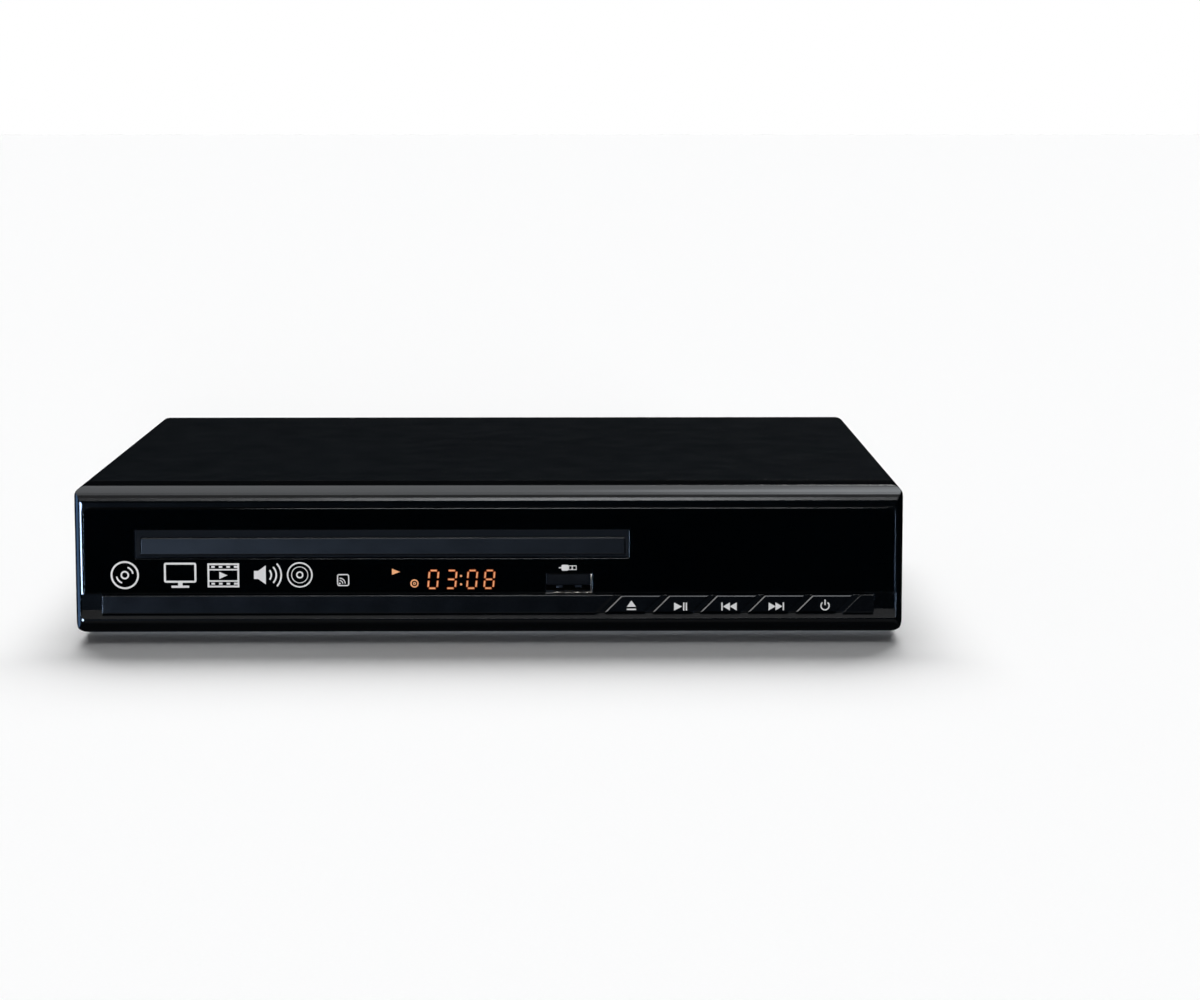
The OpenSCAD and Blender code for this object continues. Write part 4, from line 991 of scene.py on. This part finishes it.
@dataclass
class Front(SubAssembly):
    """Moulded front with its glossy panel, lit display and printed marks."""

    finishes: ClassVar[dict[str, Finish]] = {
        "front_bezel": Finishes.bezel, "fascia_panel": Finishes.fascia, "display_module": Finishes.display,
        "front_board": Finishes.green, "ir_receiver": Finishes.receiver, "tact_switches": Finishes.switch}
    face_y: float = -98.9
    print_t: float = 0.05
    panel_x: float = 110.05
    panel_top: float = 37.35
    corner_r: float = 2.6
    web_y: Span = (-0.09, 0.1)
    web_overlap: float = 0.15
    digits: tuple[tuple[float, str], ...] = (
        (-15.27, "abcdef"), (-10.35, "abcdg"), (-4.73, "abcdef"), (-0.05, "abcdefg"))
    digit_size: Span = (2.45, 4.85)
    digit_z: float = 15.28
    digit_gap: float = 0.58
    core: float = 0.36
    core_lift: float = 0.01
    halo: float = 0.66
    lean: float = 0.09
    colon_x: Span = (-7.95, -7.35)
    colon_z: Span = (16.05, 18.35)
    colon_h: float = 0.6
    play_mark: Area = ((-26.4, -24.2), (18.95, 20.65))
    ring_mark: Span = (-20.3, 16.6)
    mark_z: float = 19.0
    disc_x: float = -98.8
    screen_rim: Area = ((-88.2, -79.4), (16.9, 22.4))
    screen_neck: Area = ((-84.4, -83.2), (16.0, 17.1))
    screen_base: Area = ((-86.2, -81.4), (15.5, 16.1))
    film_rim: Area = ((-76.4, -67.8), (15.6, 22.2))
    film_bar_x: Span = (-76.2, -68.0)
    film_bars: tuple[Span, ...] = ((17.15, 17.55), (20.25, 20.65))
    film_holes: tuple[Span, ...] = ((16.35, 16.9), (20.95, 21.5))
    film_hole_x: float = -75.35
    film_hole_pitch: float = 2.05
    film_hole_w: float = 0.95
    film_picture: Area = ((-73.2, -71.0), (17.9, 19.9))
    speaker_box: Area = ((-63.8, -62.5), (17.9, 20.1))
    speaker_cone: Area = ((-62.7, -60.6), (16.4, 21.6))
    speaker_neck: float = 0.42
    sound_x: float = -61.0
    sound_waves: tuple[float, ...] = (1.9, 3.25, 4.6)
    music_x: float = -51.4
    beam_rim: Area = ((-41.3, -38.0), (15.9, 19.2))
    beam_at: Span = (-40.6, 16.6)
    beam_waves: Span = (0.85, 1.5)
    beam_dot: Area = ((-40.85, -40.35), (16.35, 16.85))

    def build(self) -> None:
        """Model the display's marks, the prints on the panel and the panel's corners."""
        slot = "display_black"
        for index, (x, lit) in enumerate(self.digits):
            # Each lit bar gets a bright core and a wider, dimmer halo, a painted glow round it.
            for name, bar, lift, finish in (("core", self.core, self.core_lift, Finishes.amber),
                                            ("halo", self.halo, 0.0, Finishes.painted_halo_glow)):
                self.fit(self.digit(f"digit_{name}_{index}", x, lit, bar, lift), finish, slot)
        dots = [self.plate("dot", (self.colon_x, (z, z + self.colon_h))) for z in self.colon_z]
        self.fit(Bench.join("colon", [Bench.round_corners(d, 0.2, 2) for d in dots]), Finishes.amber, slot)
        self.fit(self.arrow("play_mark", self.play_mark), Finishes.amber, slot)
        at = (self.ring_mark[0], self.face_y, self.ring_mark[1])
        disc = [Bench.ring("disc_mark_rim", at, radius=0.95, width=0.34, depth=0.09),
                Bench.ring("disc_mark_hub", at, radius=0.3, width=0.2, depth=0.09, sides=20)]
        self.fit(Bench.join("disc_mark", disc), Finishes.amber, slot)
        pictures = {"mark_disc": self.disc, "mark_screen": self.screen, "mark_film": self.film,
                    "mark_sound": self.sound, "mark_beam": self.beam, "mark_music_disc": self.music}
        for name, draw in pictures.items():
            self.fit(Bench.join(name, draw()), Finishes.ink, "fascia_gloss")
        self.fit(self.corners("face_corners"), Finishes.bezel, "bezel_black")

    def corners(self, name: str) -> Piece:
        """Round the panel's upper corners off with a thin web in each.

        Args:
            name: Name of the piece.

        Returns:
            The piece.
        """
        webs = []
        low = self.panel_top - self.corner_r
        for side in (-1, 1):
            inner = side * (self.panel_x - self.corner_r)
            left, right = sorted((inner, side * (self.panel_x + self.web_overlap)))
            web = Bench.slab("web", (left, right), (self.face_y + self.web_y[0], self.face_y + self.web_y[1]),
                             (low, self.panel_top + self.web_overlap))
            tool = Bench.rod("round", (inner, self.face_y - 1, low), self.corner_r, length=2, sides=64)
            Bench.cut(web, tool)
            webs.append(web)
        return Bench.join(name, webs)

    def plate(self, name: str, area: Area, lift: float = 0.0) -> Piece:
        """Add a printed patch on the panel's face, and lift it forward of the others."""
        return Bench.patch(name, area, self.face_y, self.print_t / 2, lift)

    def arrow(self, name: str, area: Area, lift: float = 0.0) -> Piece:
        """Add a printed triangle on the panel's face that points right."""
        (left, right), _ = area
        return Bench.pinch(self.plate(name, area, lift), lambda at, way: at.x > (left + right) / 2, (1, 1, 0))

    def digit(self, name: str, middle: float, lit: str, width: float, lift: float) -> Piece:
        """Model one lit figure from its bars.

        Args:
            name: Name of the piece.
            middle: Its middle along X.
            lit: Letters of the bars that are lit, a at the top and on clockwise, g in the middle.
            width: Width of a bar.
            lift: How far it stands forward of the other prints.

        Returns:
            The piece.
        """
        half_w, height = self.digit_size[0] / 2, self.digit_size[1]
        half_h, gap = height / 2, self.digit_gap - width / 2
        level = {"a": 2, "g": 1, "d": 0}
        upright = {"b": (half_w, 1), "c": (half_w, 0), "e": (-half_w, 0), "f": (-half_w, 1)}
        bars = []
        for letter in lit:
            if letter in level:
                z = self.digit_z + level[letter] * half_h
                x, reach_x, reach_z = 0.0, half_w - gap, width / 2
            else:
                x, step = upright[letter]
                z = self.digit_z + (step + 0.5) * half_h
                reach_x, reach_z = width / 2, half_h / 2 - gap
            x += middle + self.lean * (z - self.digit_z - half_h)
            bar = self.plate(f"bar_{letter}", ((x - reach_x, x + reach_x), (z - reach_z, z + reach_z)), lift)
            if letter in upright:
                Bench.lean(bar, z, self.lean * 2 * reach_z)
            bars.append(Bench.round_corners(bar, width * 0.3, 2))
        return Bench.join(name, bars)

    def disc(self) -> list[Piece]:
        """Draw a disc with two streaks of light on it.

        Returns:
            The picture's parts.
        """
        at = (self.disc_x, self.face_y, self.mark_z)
        rings = [Bench.ring("disc_rim", at, radius=3.6, width=0.5),
                 Bench.ring("disc_eye", at, radius=0.95, width=0.45, sides=24)]
        return rings + [Bench.arc("shine", at, 2.25, width=0.42, start=turn, sweep=60) for turn in (20, 200)]

    def screen(self) -> list[Piece]:
        """Draw a screen on its stand.

        Returns:
            The picture's parts.
        """
        rim = Bench.round_corners(self.plate("screen_rim", self.screen_rim), 0.6)
        return [Bench.hollow(rim, 0.55), self.plate("screen_neck", self.screen_neck, 0.004),
                self.plate("screen_base", self.screen_base, 0.002)]

    def film(self) -> list[Piece]:
        """Draw a strip of film with an arrow in its frame.

        Returns:
            The picture's parts.
        """
        film = [Bench.hollow(self.plate("film_rim", self.film_rim), 0.5)]
        film += [self.plate("film_bar", (self.film_bar_x, z), 0.003) for z in self.film_bars]
        for index in range(4):
            x = self.film_hole_x + index * self.film_hole_pitch
            film += [self.plate("film_hole", ((x, x + self.film_hole_w), z), 0.004) for z in self.film_holes]
        return film + [self.arrow("film_picture", self.film_picture, 0.004)]

    def sound(self) -> list[Piece]:
        """Draw a loudspeaker with three waves.

        Returns:
            The picture's parts.
        """
        (left, right), _ = self.speaker_cone
        cone = Bench.pinch(self.plate("speaker_cone", self.speaker_cone, 0.004),
                           lambda at, way: at.x < (left + right) / 2, (1, 1, self.speaker_neck))
        at = (self.sound_x, self.face_y, self.mark_z)
        waves = [Bench.arc("wave", at, radius, width=0.45, start=48, sweep=84) for radius in self.sound_waves]
        return [self.plate("speaker_box", self.speaker_box), cone, *waves]

    def music(self) -> list[Piece]:
        """Draw a disc with a track.

        Returns:
            The picture's parts.
        """
        at = (self.music_x, self.face_y, self.mark_z)
        return [Bench.ring("music_rim", at, radius=3.3, width=0.4),
                Bench.ring("music_eye", at, radius=0.8, width=0.4, sides=24),
                Bench.ring("music_track", at, radius=2.2, width=0.22)]

    def beam(self) -> list[Piece]:
        """Draw the infrared beam, in a small frame.

        Returns:
            The picture's parts.
        """
        at = (self.beam_at[0], self.face_y, self.beam_at[1])
        waves = [Bench.arc("wave", at, radius, width=0.24, start=0, sweep=90) for radius in self.beam_waves]
        rim = Bench.round_corners(self.plate("beam_rim", self.beam_rim), 0.6)
        dot = self.plate("beam_dot", self.beam_dot, 0.003)
        return [Bench.hollow(rim, 0.3), *waves, Bench.round_corners(dot, 0.2, 2)]


class Command(Enum):
    """What each key does, in order from the left."""

    OPEN = "open"
    PLAY = "play"
    PREVIOUS = "previous"
    NEXT = "next"
    POWER = "power"


class Shape(Enum):
    """Strokes that the keys' signs are made of."""

    BAR = "upright bar"
    ARROW = "triangle that points along X"
    PEAK = "triangle that points up"


@dataclass(frozen=True)
class Stroke:
    """One stroke of a key's sign, placed from the sign's middle. A negative half width points it left."""

    shape: Shape
    shift: float
    half: float
    z: Span = (-1.1, 1.1)


@dataclass
class Keys(SubAssembly):
    """Slanted key strip, its five caps and their signs."""

    finishes: ClassVar[dict[str, Finish]] = {"key_rail": Finishes.strip}
    signs: ClassVar[dict[Command, tuple[Stroke, ...]]] = {
        Command.OPEN: (
            Stroke(Shape.PEAK, 0.0, 1.25, (-0.05, 1.7)), Stroke(Shape.BAR, 0.0, 1.25, (-0.95, -0.55))),
        Command.PLAY: (
            Stroke(Shape.ARROW, -0.7, 1.1), Stroke(Shape.BAR, 0.85, 0.19), Stroke(Shape.BAR, 1.55, 0.19)),
        Command.PREVIOUS: (
            Stroke(Shape.BAR, -1.95, 0.19), Stroke(Shape.ARROW, -0.75, -0.95),
            Stroke(Shape.ARROW, 1.1, -0.95)),
        Command.NEXT: (
            Stroke(Shape.ARROW, -1.1, 0.95), Stroke(Shape.ARROW, 0.75, 0.95), Stroke(Shape.BAR, 1.95, 0.19)),
        Command.POWER: (Stroke(Shape.BAR, 0.0, 0.18, (0.35, 1.85)),),
    }
    pitch: float = 13.0
    first_x: float = 36.1
    width: float = 10.8
    z: Span = (8.55, 13.15)
    y: Span = (-98.95, -97.75)
    stem_inset: float = 1.0
    stem_y: Span = (-98.0, -96.15)
    stem_z: Span = (9.6, 12.1)
    slant_from: float = 13.3
    bevel: float = 0.28
    sign_x: tuple[float, ...] = (2.5, 2.9, 3.1, 2.9, 3.2)
    sign_z: float = 10.15
    power_lift: float = 0.15

    def build(self) -> None:
        """Model the caps and the signs on them."""
        for index, command in enumerate(Command):
            left, body = self.first_x + index * self.pitch, command.value + "_button"
            cap = self.cap(f"cap_{command.value}", left)
            self.fit(cap, Finishes.cap, "key_strip", body)
            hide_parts("key_" + command.value)
            self.fit(self.sign(command, left + self.sign_x[index]), Finishes.ink, "key_strip", body)

    def cap(self, name: str, left: float) -> Piece:
        """Model a cap with a chamfered face, and the stem that carries it.

        Args:
            name: Name of the piece.
            left: Where its top edge would start at the strip's top.

        Returns:
            The piece.
        """
        inset, front = self.stem_inset, self.y[0]
        face = self.slanted("face", left, self.width, self.y, self.z)
        stem = self.slanted("stem", left + inset, self.width - 2 * inset, self.stem_y, self.stem_z)
        with Bench.editing(face, "EDGE"):
            Bench.pick(face, "EDGE", lambda at, run: at.y < front + 0.01)
            bpy.ops.mesh.bevel(offset=self.bevel * MM, segments=1, affect="EDGES")
        return Bench.join(name, [face, Bench.ease(stem, 0.1, steps=1)])

    def slanted(self, name: str, left: float, width: float, y: Span, z: Span) -> Piece:
        """Model a block whose ends slant at 45 degrees.

        Args:
            name: Name of the piece.
            left: Where its left end would reach the strip's top.
            width: Its width.
            y: Range along Y.
            z: Range along Z.

        Returns:
            The piece.
        """
        drop = z[1] - z[0]
        start = left - (self.slant_from - z[1]) - drop
        block = Bench.slab(name, (start, start + width), y, z)
        Bench.lean(block, (z[0] + z[1]) / 2, drop)
        return block

    def sign(self, command: Command, middle: float) -> Piece:
        """Model the white sign of a key.

        Args:
            command: Which key.
            middle: Middle of the cap's face along X.

        Returns:
            The piece.
        """
        parts = []
        if command is Command.POWER:
            at = (middle, self.y[0], self.sign_z + self.power_lift)
            parts.append(Bench.arc("power_arc", at, radius=1.12, width=0.34, start=38, sweep=284))
        parts += [self.stroke(stroke, middle + stroke.shift) for stroke in self.signs[command]]
        return Bench.join("sign_" + command.value, parts)

    def stroke(self, stroke: Stroke, middle: float) -> Piece:
        """Print one stroke on a cap's face.

        Args:
            stroke: The stroke.
            middle: Its middle along X.

        Returns:
            The piece.
        """
        low, high = self.sign_z + stroke.z[0], self.sign_z + stroke.z[1]
        reach = abs(stroke.half)
        piece = Bench.patch("stroke", ((middle - reach, middle + reach), (low, high)), self.y[0])
        if stroke.shape is Shape.BAR:
            return Bench.round_corners(piece, 0.06, 1)
        if stroke.shape is Shape.PEAK:
            return Bench.pinch(piece, lambda at, way: at.z > (low + high) / 2, (0, 1, 1))
        return Bench.pinch(piece, lambda at, way: (at.x - middle) * stroke.half > 0, (1, 1, 0))


@dataclass
class FrontPort(SubAssembly):
    """Flat port in the front, its contacts and its sign."""

    # The shell takes the darkened nickel, which paints the shade inside the port.
    finishes: ClassVar[dict[str, Finish]] = {
        "port_shell": Finishes.shade_darkened_nickel, "port_tongue": Finishes.tongue}
    x: float = 21.6
    face_y: float = -98.9
    contacts: tuple[float, ...] = (-3.5, -1.0, 1.0, 3.5)
    contact_half: float = 0.5
    contact_y: Span = (-92.5, -85.0)
    contact_z: Span = (16.28, 16.44)
    lip_side_y: Span = (-98.5, -95.25)
    lip_low_y: Span = (-98.3, -95.25)
    lip_side: Area = ((27.56, 27.97), (13.9, 19.0))
    lip_low: tuple[Span, ...] = ((17.4, 20.6), (21.0, 22.4), (22.8, 25.6), (26.0, 27.8))
    lip_low_z: Span = (13.8, 14.08)
    sign_z: float = 20.85
    print_half: float = 0.025
    plug_rim: Area = ((-0.1, 2.1), (-0.62, 0.62))
    plug_body: Area = ((-2.0, -0.05), (-0.8, 0.8))
    plug_dots: tuple[Area, ...] = (((0.7, 1.15), (-0.34, -0.08)), ((0.7, 1.15), (0.08, 0.34)))
    plug_lead: Area = ((-2.7, -1.9), (-0.16, 0.16))

    def build(self) -> None:
        """Model the contacts under the tongue, the bright lip and the sign above the mouth."""
        leaves = []
        for offset in self.contacts:
            middle, half = self.x + offset, self.contact_half
            leaf = Bench.slab("leaf", (middle - half, middle + half), self.contact_y, self.contact_z)
            leaves.append(Bench.ease(leaf, 0.05))
        self.fit(Bench.join("port_contacts", leaves), Finishes.gold, "nickel")
        lip = [Bench.slab("lip_side", self.lip_side[0], self.lip_side_y, self.lip_side[1])]
        lip += [Bench.slab("lip_low", x, self.lip_low_y, self.lip_low_z) for x in self.lip_low]
        self.fit(Bench.ease(Bench.join("port_lip", lip), 0.05), Finishes.nickel, "nickel")
        plug = [Bench.hollow(self.plate(self.plug_rim), 0.2),
                Bench.round_corners(self.plate(self.plug_body), 0.35, 3),
                *(self.plate(area) for area in (*self.plug_dots, self.plug_lead))]
        self.fit(Bench.join("port_sign", plug), Finishes.ink, "fascia_gloss")

    def plate(self, area: Area) -> Piece:
        """Add a patch of the sign.

        Args:
            area: Its ranges along X and Z, from the sign's middle.

        Returns:
            The piece.
        """
        (left, right), (low, high) = area
        spot = ((self.x + left, self.x + right), (self.sign_z + low, self.sign_z + high))
        return Bench.patch("plug", spot, self.face_y, self.print_half)


@dataclass
class Tray(SubAssembly):
    """Disc tray with its door."""

    finishes: ClassVar[dict[str, Finish]] = {"disc_tray": Finishes.tray, "tray_door": Finishes.door}


@dataclass
class Loader(SubAssembly):
    """Frame, gears, belt and slider that move the tray."""

    finishes: ClassVar[dict[str, Finish]] = {
        "loader_frame": Finishes.frame_plastic, "loader_dampers": Finishes.damper,
        "loading_motor": Finishes.motor, "drive_belt": Finishes.belt, "clamp_bridge": Finishes.frame_plastic,
        "bridge_screws": Finishes.screw, "drive_gear": Finishes.acetal, "pulley_gear": Finishes.acetal,
        "motor_pulley": Finishes.brass, "cam_slider": Finishes.slider}


@dataclass
class Deck(SubAssembly):
    """Tilting deck with the disc motor and the pickup, and the clamper above it."""

    finishes: ClassVar[dict[str, Finish]] = {
        "deck_frame": Finishes.frame_plastic, "spindle_motor": Finishes.motor, "guide_rods": Finishes.screw,
        "sled_motor": Finishes.motor, "turntable": Finishes.hub, "clamper_puck": Finishes.puck,
        "clamper_magnet": Finishes.motor, "optical_pickup": Finishes.cast, "pickup_lens": Finishes.lens,
        "lead_screw": Finishes.screw}
    pad_at: Point = (-28.8, -30.0, 29.0)
    pivot: Span = (58.0, 20.0)
    tilt: float = 4.36652

    def lowered(self) -> Matrix:
        """Work out the turn that brings the deck from its playing place to its rest.

        Returns:
            The turn, about the deck's rear pivot.
        """
        pin = Vector((0, *self.pivot)) * MM
        turn = Matrix.Rotation(math.radians(self.tilt), 4, "X")
        return Matrix.Translation(pin) @ turn @ Matrix.Translation(-pin)

    def build(self) -> None:
        """Model the rubber ring that the disc rests on."""
        pad = Bench.ring("hub_pad", self.pad_at, radius=11.2, width=3.6, depth=0.36, axis=Z_AXIS, sides=64)
        pad.data.transform(self.lowered())
        self.fit(pad, Finishes.pad, "hub_black", "hub")


@dataclass
class Boards(SubAssembly):
    """Circuit boards and what is soldered to them."""

    finishes: ClassVar[dict[str, Finish]] = {
        "main_board": Finishes.green, "decoder_chips": Finishes.chip, "board_capacitors": Finishes.can,
        "power_board": Finishes.brown, "power_transformer": Finishes.tape, "mains_capacitor": Finishes.can,
        "heat_sink": Finishes.aluminium, "board_standoffs": Finishes.brass, "board_screws": Finishes.screw,
        "flat_cable": Finishes.film}


@dataclass
class RearSockets(SubAssembly):
    """Phono jacks, digital socket and mains inlet."""

    finishes: ClassVar[dict[str, Finish]] = {
        "av_socket": Finishes.nickel, "jack_housing": Finishes.socket, "jack_sleeves": Finishes.nickel,
        "jack_inserts": Finishes.jacks, "mains_inlet": Finishes.socket, "inlet_pins": Finishes.nickel}
    panel_y: float = 89.7
    tip_y: float = 98.2
    jacks: tuple[Span, ...] = ((66.8, 17.6), (66.8, 30.3), (79.5, 17.6), (79.5, 30.3))
    socket: Area = ((44.6, 59.6), (11.6, 17.2))
    socket_margin: float = 1.6
    pin_rows: tuple[tuple[int, float], ...] = ((10, 0.42), (9, -0.56))
    pin_pitch: float = 0.85
    pin_half: float = 0.17
    pin_t: float = 0.14
    pin_y: Span = (80.6, 85.4)
    inlet_print: Area = ((86.4, 109.6), (11.8, 25.6))

    def build(self) -> None:
        """Model the jacks' springs, the socket's contacts and the prints round them."""
        springs = [Bench.ring("spring", (x, self.tip_y, z), radius=1.62, width=0.3, depth=0.5, sides=28)
                   for x, z in self.jacks]
        self.fit(Bench.join("jack_springs", springs), Finishes.nickel, "nickel")
        rings = [Bench.ring("jack_print", (x, self.panel_y, z), radius=5.35, width=0.35, depth=0.06, sides=48)
                 for x, z in self.jacks]
        self.fit(Bench.join("jack_prints", rings), Finishes.ink, "cover_black")
        self.fit(self.contacts("socket_contacts"), Finishes.gold, "nickel")
        around = tuple((low - self.socket_margin, high + self.socket_margin) for low, high in self.socket)
        frames = []
        for area, radius in ((around, 1.2), (self.inlet_print, 1.6)):
            outline = Bench.round_corners(Bench.patch("outline", area, self.panel_y), radius)
            frames.append(Bench.hollow(outline, 0.3))
        self.fit(Bench.join("socket_prints", frames), Finishes.ink, "cover_black")

    def contacts(self, name: str) -> Piece:
        """Model the digital socket's two rows of contacts.

        Args:
            name: Name of the piece.

        Returns:
            The piece.
        """
        pins = []
        middle_x, middle_z = (sum(span) / 2 for span in self.socket)
        for count, rise in self.pin_rows:
            z = middle_z + rise
            for index in range(count):
                x = middle_x + (index - (count - 1) / 2) * self.pin_pitch
                across = (x - self.pin_half, x + self.pin_half)
                pins.append(Bench.slab("pin", across, self.pin_y, (z, z + self.pin_t)))
        return Bench.ease(Bench.join(name, pins), 0.03, steps=1)


# ---- Studio ----


class Role(Enum):
    """What a lamp is for."""

    SHADE = "lights the surfaces, and isn't mirrored in them"
    GLEAM = "is mirrored in gloss, and casts no light of its own"


@dataclass(frozen=True)
class Lamp:
    """A soft round lamp far off, so that its light is even over the floor.

    A gleam's strength is its brightness, where white paper is 1. That of the others is the light that they
    cast.
    """

    name: str
    role: Role
    towards: Point
    spread: float
    strength: float
    colour: Colour = (1.0, 1.0, 1.0)
    shaded: bool = True

    def build(self) -> None:
        """Hang the lamp in the direction that it is seen in from the player."""
        data = bpy.data.lights.new(self.name, "SUN")
        gleam = self.role is Role.GLEAM
        disc = math.pi * math.sin(math.radians(self.spread / 2)) ** 2
        data.energy = self.strength * (disc if gleam else math.pi)
        data.angle = math.radians(self.spread)
        data.color = self.colour
        data.use_shadow = self.shaded
        lamp = bpy.data.objects.new(self.name, data)
        lamp.location = Vector(self.towards).normalized() * 2
        lamp.rotation_euler = Bench.facing(self.towards)
        lamp.visible_diffuse = not gleam
        lamp.visible_glossy = gleam
        bpy.context.scene.collection.objects.link(lamp)


@dataclass
class Studio:
    """Plain floor, soft lamps and the camera."""

    eye: Point = (21.29, -956.94, 147.39)
    pitch: float = -7.175
    yaw: float = 0.586
    lens: float = 95.82
    floor_half: float = 12.0
    floor_tones: tuple[Colour, Colour] = ((0.93, 0.93, 0.93), (0.94, 0.94, 0.94))
    white: Colour = (1.0, 1.0, 1.0)
    dome: Colour = (0.07, 0.072, 0.075)
    mirrored: tuple[Span, ...] = (
        (-0.92, 0.02), (-0.75, 0.3), (-0.45, 0.3), (-0.3, 0.002), (0.36, 0.002), (0.66, 0.3))
    lamps: tuple[Lamp, ...] = (
        Lamp("overhead", Role.SHADE, (0.0, -0.1, 1.0), 50.0, 0.14),
        Lamp("behind", Role.SHADE, (0.0, 0.74, 0.67), 44.0, 1.2),
        Lamp("ahead", Role.SHADE, (0.1, -0.99, 0.055), 5.0, 0.42),
        Lamp("ceiling", Role.GLEAM, (0.0, 0.0, 1.0), 40.0, 1.75, (0.92, 0.96, 1.0)),
        Lamp("high_right", Role.GLEAM, (0.28, -0.15, 0.95), 30.0, 3.1, (0.9, 0.95, 1.0)),
        Lamp("high_front", Role.GLEAM, (0.0, -0.67, 0.74), 12.0, 19.0, (0.94, 0.97, 1.0)),
        Lamp("high_back", Role.GLEAM, (0.14, 0.62, 0.77), 10.0, 26.0),
        Lamp("high_left", Role.GLEAM, (-0.76, -0.09, 0.64), 36.0, 5.0),
        Lamp("low_left", Role.GLEAM, (-0.867, 0.477, -0.142), 16.0, 1.75, (0.26, 0.52, 1.0), False),
        Lamp("front_left", Role.GLEAM, (-0.42, -0.9, -0.14), 8.0, 95.0, (0.5, 0.68, 1.0), False),
    )

    def build(self) -> None:
        """Set up the camera, the lamps, the floor and the world."""
        camera = bpy.data.cameras.new("camera")
        camera.lens = self.lens
        camera.sensor_width = 36.0
        camera.clip_start, camera.clip_end = 0.01, 60.0
        eye = bpy.data.objects.new("camera", camera)
        eye.location = Vector(self.eye) * MM
        eye.rotation_euler = (math.radians(90 + self.pitch), 0.0, -math.radians(self.yaw))
        bpy.context.scene.collection.objects.link(eye)
        bpy.context.scene.camera = eye
        bpy.context.scene.view_settings.view_transform = "Standard"
        for lamp in self.lamps:
            lamp.build()
        self.floor()
        self.world()

    def floor(self) -> None:
        """Lay a plain white floor with a fine tooth, a hair under the feet. Gloss doesn't mirror it."""
        Bench.clear()
        bpy.ops.mesh.primitive_grid_add(
            x_subdivisions=8, y_subdivisions=8, size=2 * self.floor_half, location=(0, 0, -0.02 * MM))
        floor = Bench.settle("floor")
        paper = Surface("floor_paper")
        tone = paper.blend(paper.ranged(paper.noise(0.8), (0.3, 0.7)), *self.floor_tones)
        paper.feed(paper.shader, Base_Color=tone, Roughness=0.9, Specular_IOR_Level=0.0)
        floor.data.materials.append(paper.material)
        floor.visible_glossy = False

    def world(self) -> None:
        """Make the room white to the camera, a dim dome to the surfaces, and to gloss dark at eye height.

        What gloss and glass mirror follows a list of heights from -1 straight down to 1 straight up.
        """
        world = bpy.data.worlds.new("room")
        bpy.context.scene.world = world
        world.use_nodes = True
        room = Graph(world.node_tree)
        ray = room.add("LightPath").outputs
        height = room.parts(room.add("TexCoord").outputs["Generated"])[2]
        ramp = room.add("ValToRGB")
        room.join(room.ranged(height, (-1.0, 1.0)), ramp.inputs[0])
        stops = ramp.color_ramp.elements
        stops.remove(stops[1])
        for index, (rise, tone) in enumerate(self.mirrored):
            stop = stops.new((rise + 1) / 2) if index else stops[0]
            stop.position = (rise + 1) / 2
            stop.color = (tone, tone, tone, 1.0)
        gloss = room.maths("MAXIMUM", ray["Is Glossy Ray"], ray["Is Transmission Ray"])
        around = room.feed(room.add("Background"), Color=room.blend(gloss, self.dome, ramp.outputs[0]))
        behind = room.feed(room.add("Background"), Color=self.white)
        seen = room.add("MixShader")
        for index, source in enumerate((ray["Is Camera Ray"], around.outputs[0], behind.outputs[0])):
            room.join(source, seen.inputs[index])
        room.feed(room.add("OutputWorld"), Surface=seen.outputs[0])


def main() -> None:
    """Build the studio and every sub-assembly in order."""
    logging.basicConfig(level=logging.INFO, format="%(message)s")
    Studio().build()
    for part in (Case(), Front(), Keys(), FrontPort(), Tray(), Loader(), Deck(), Boards(), RearSockets()):
        part.build()
        part.dress()
    Bench.clear()


if __name__ == "__main__":
    main()
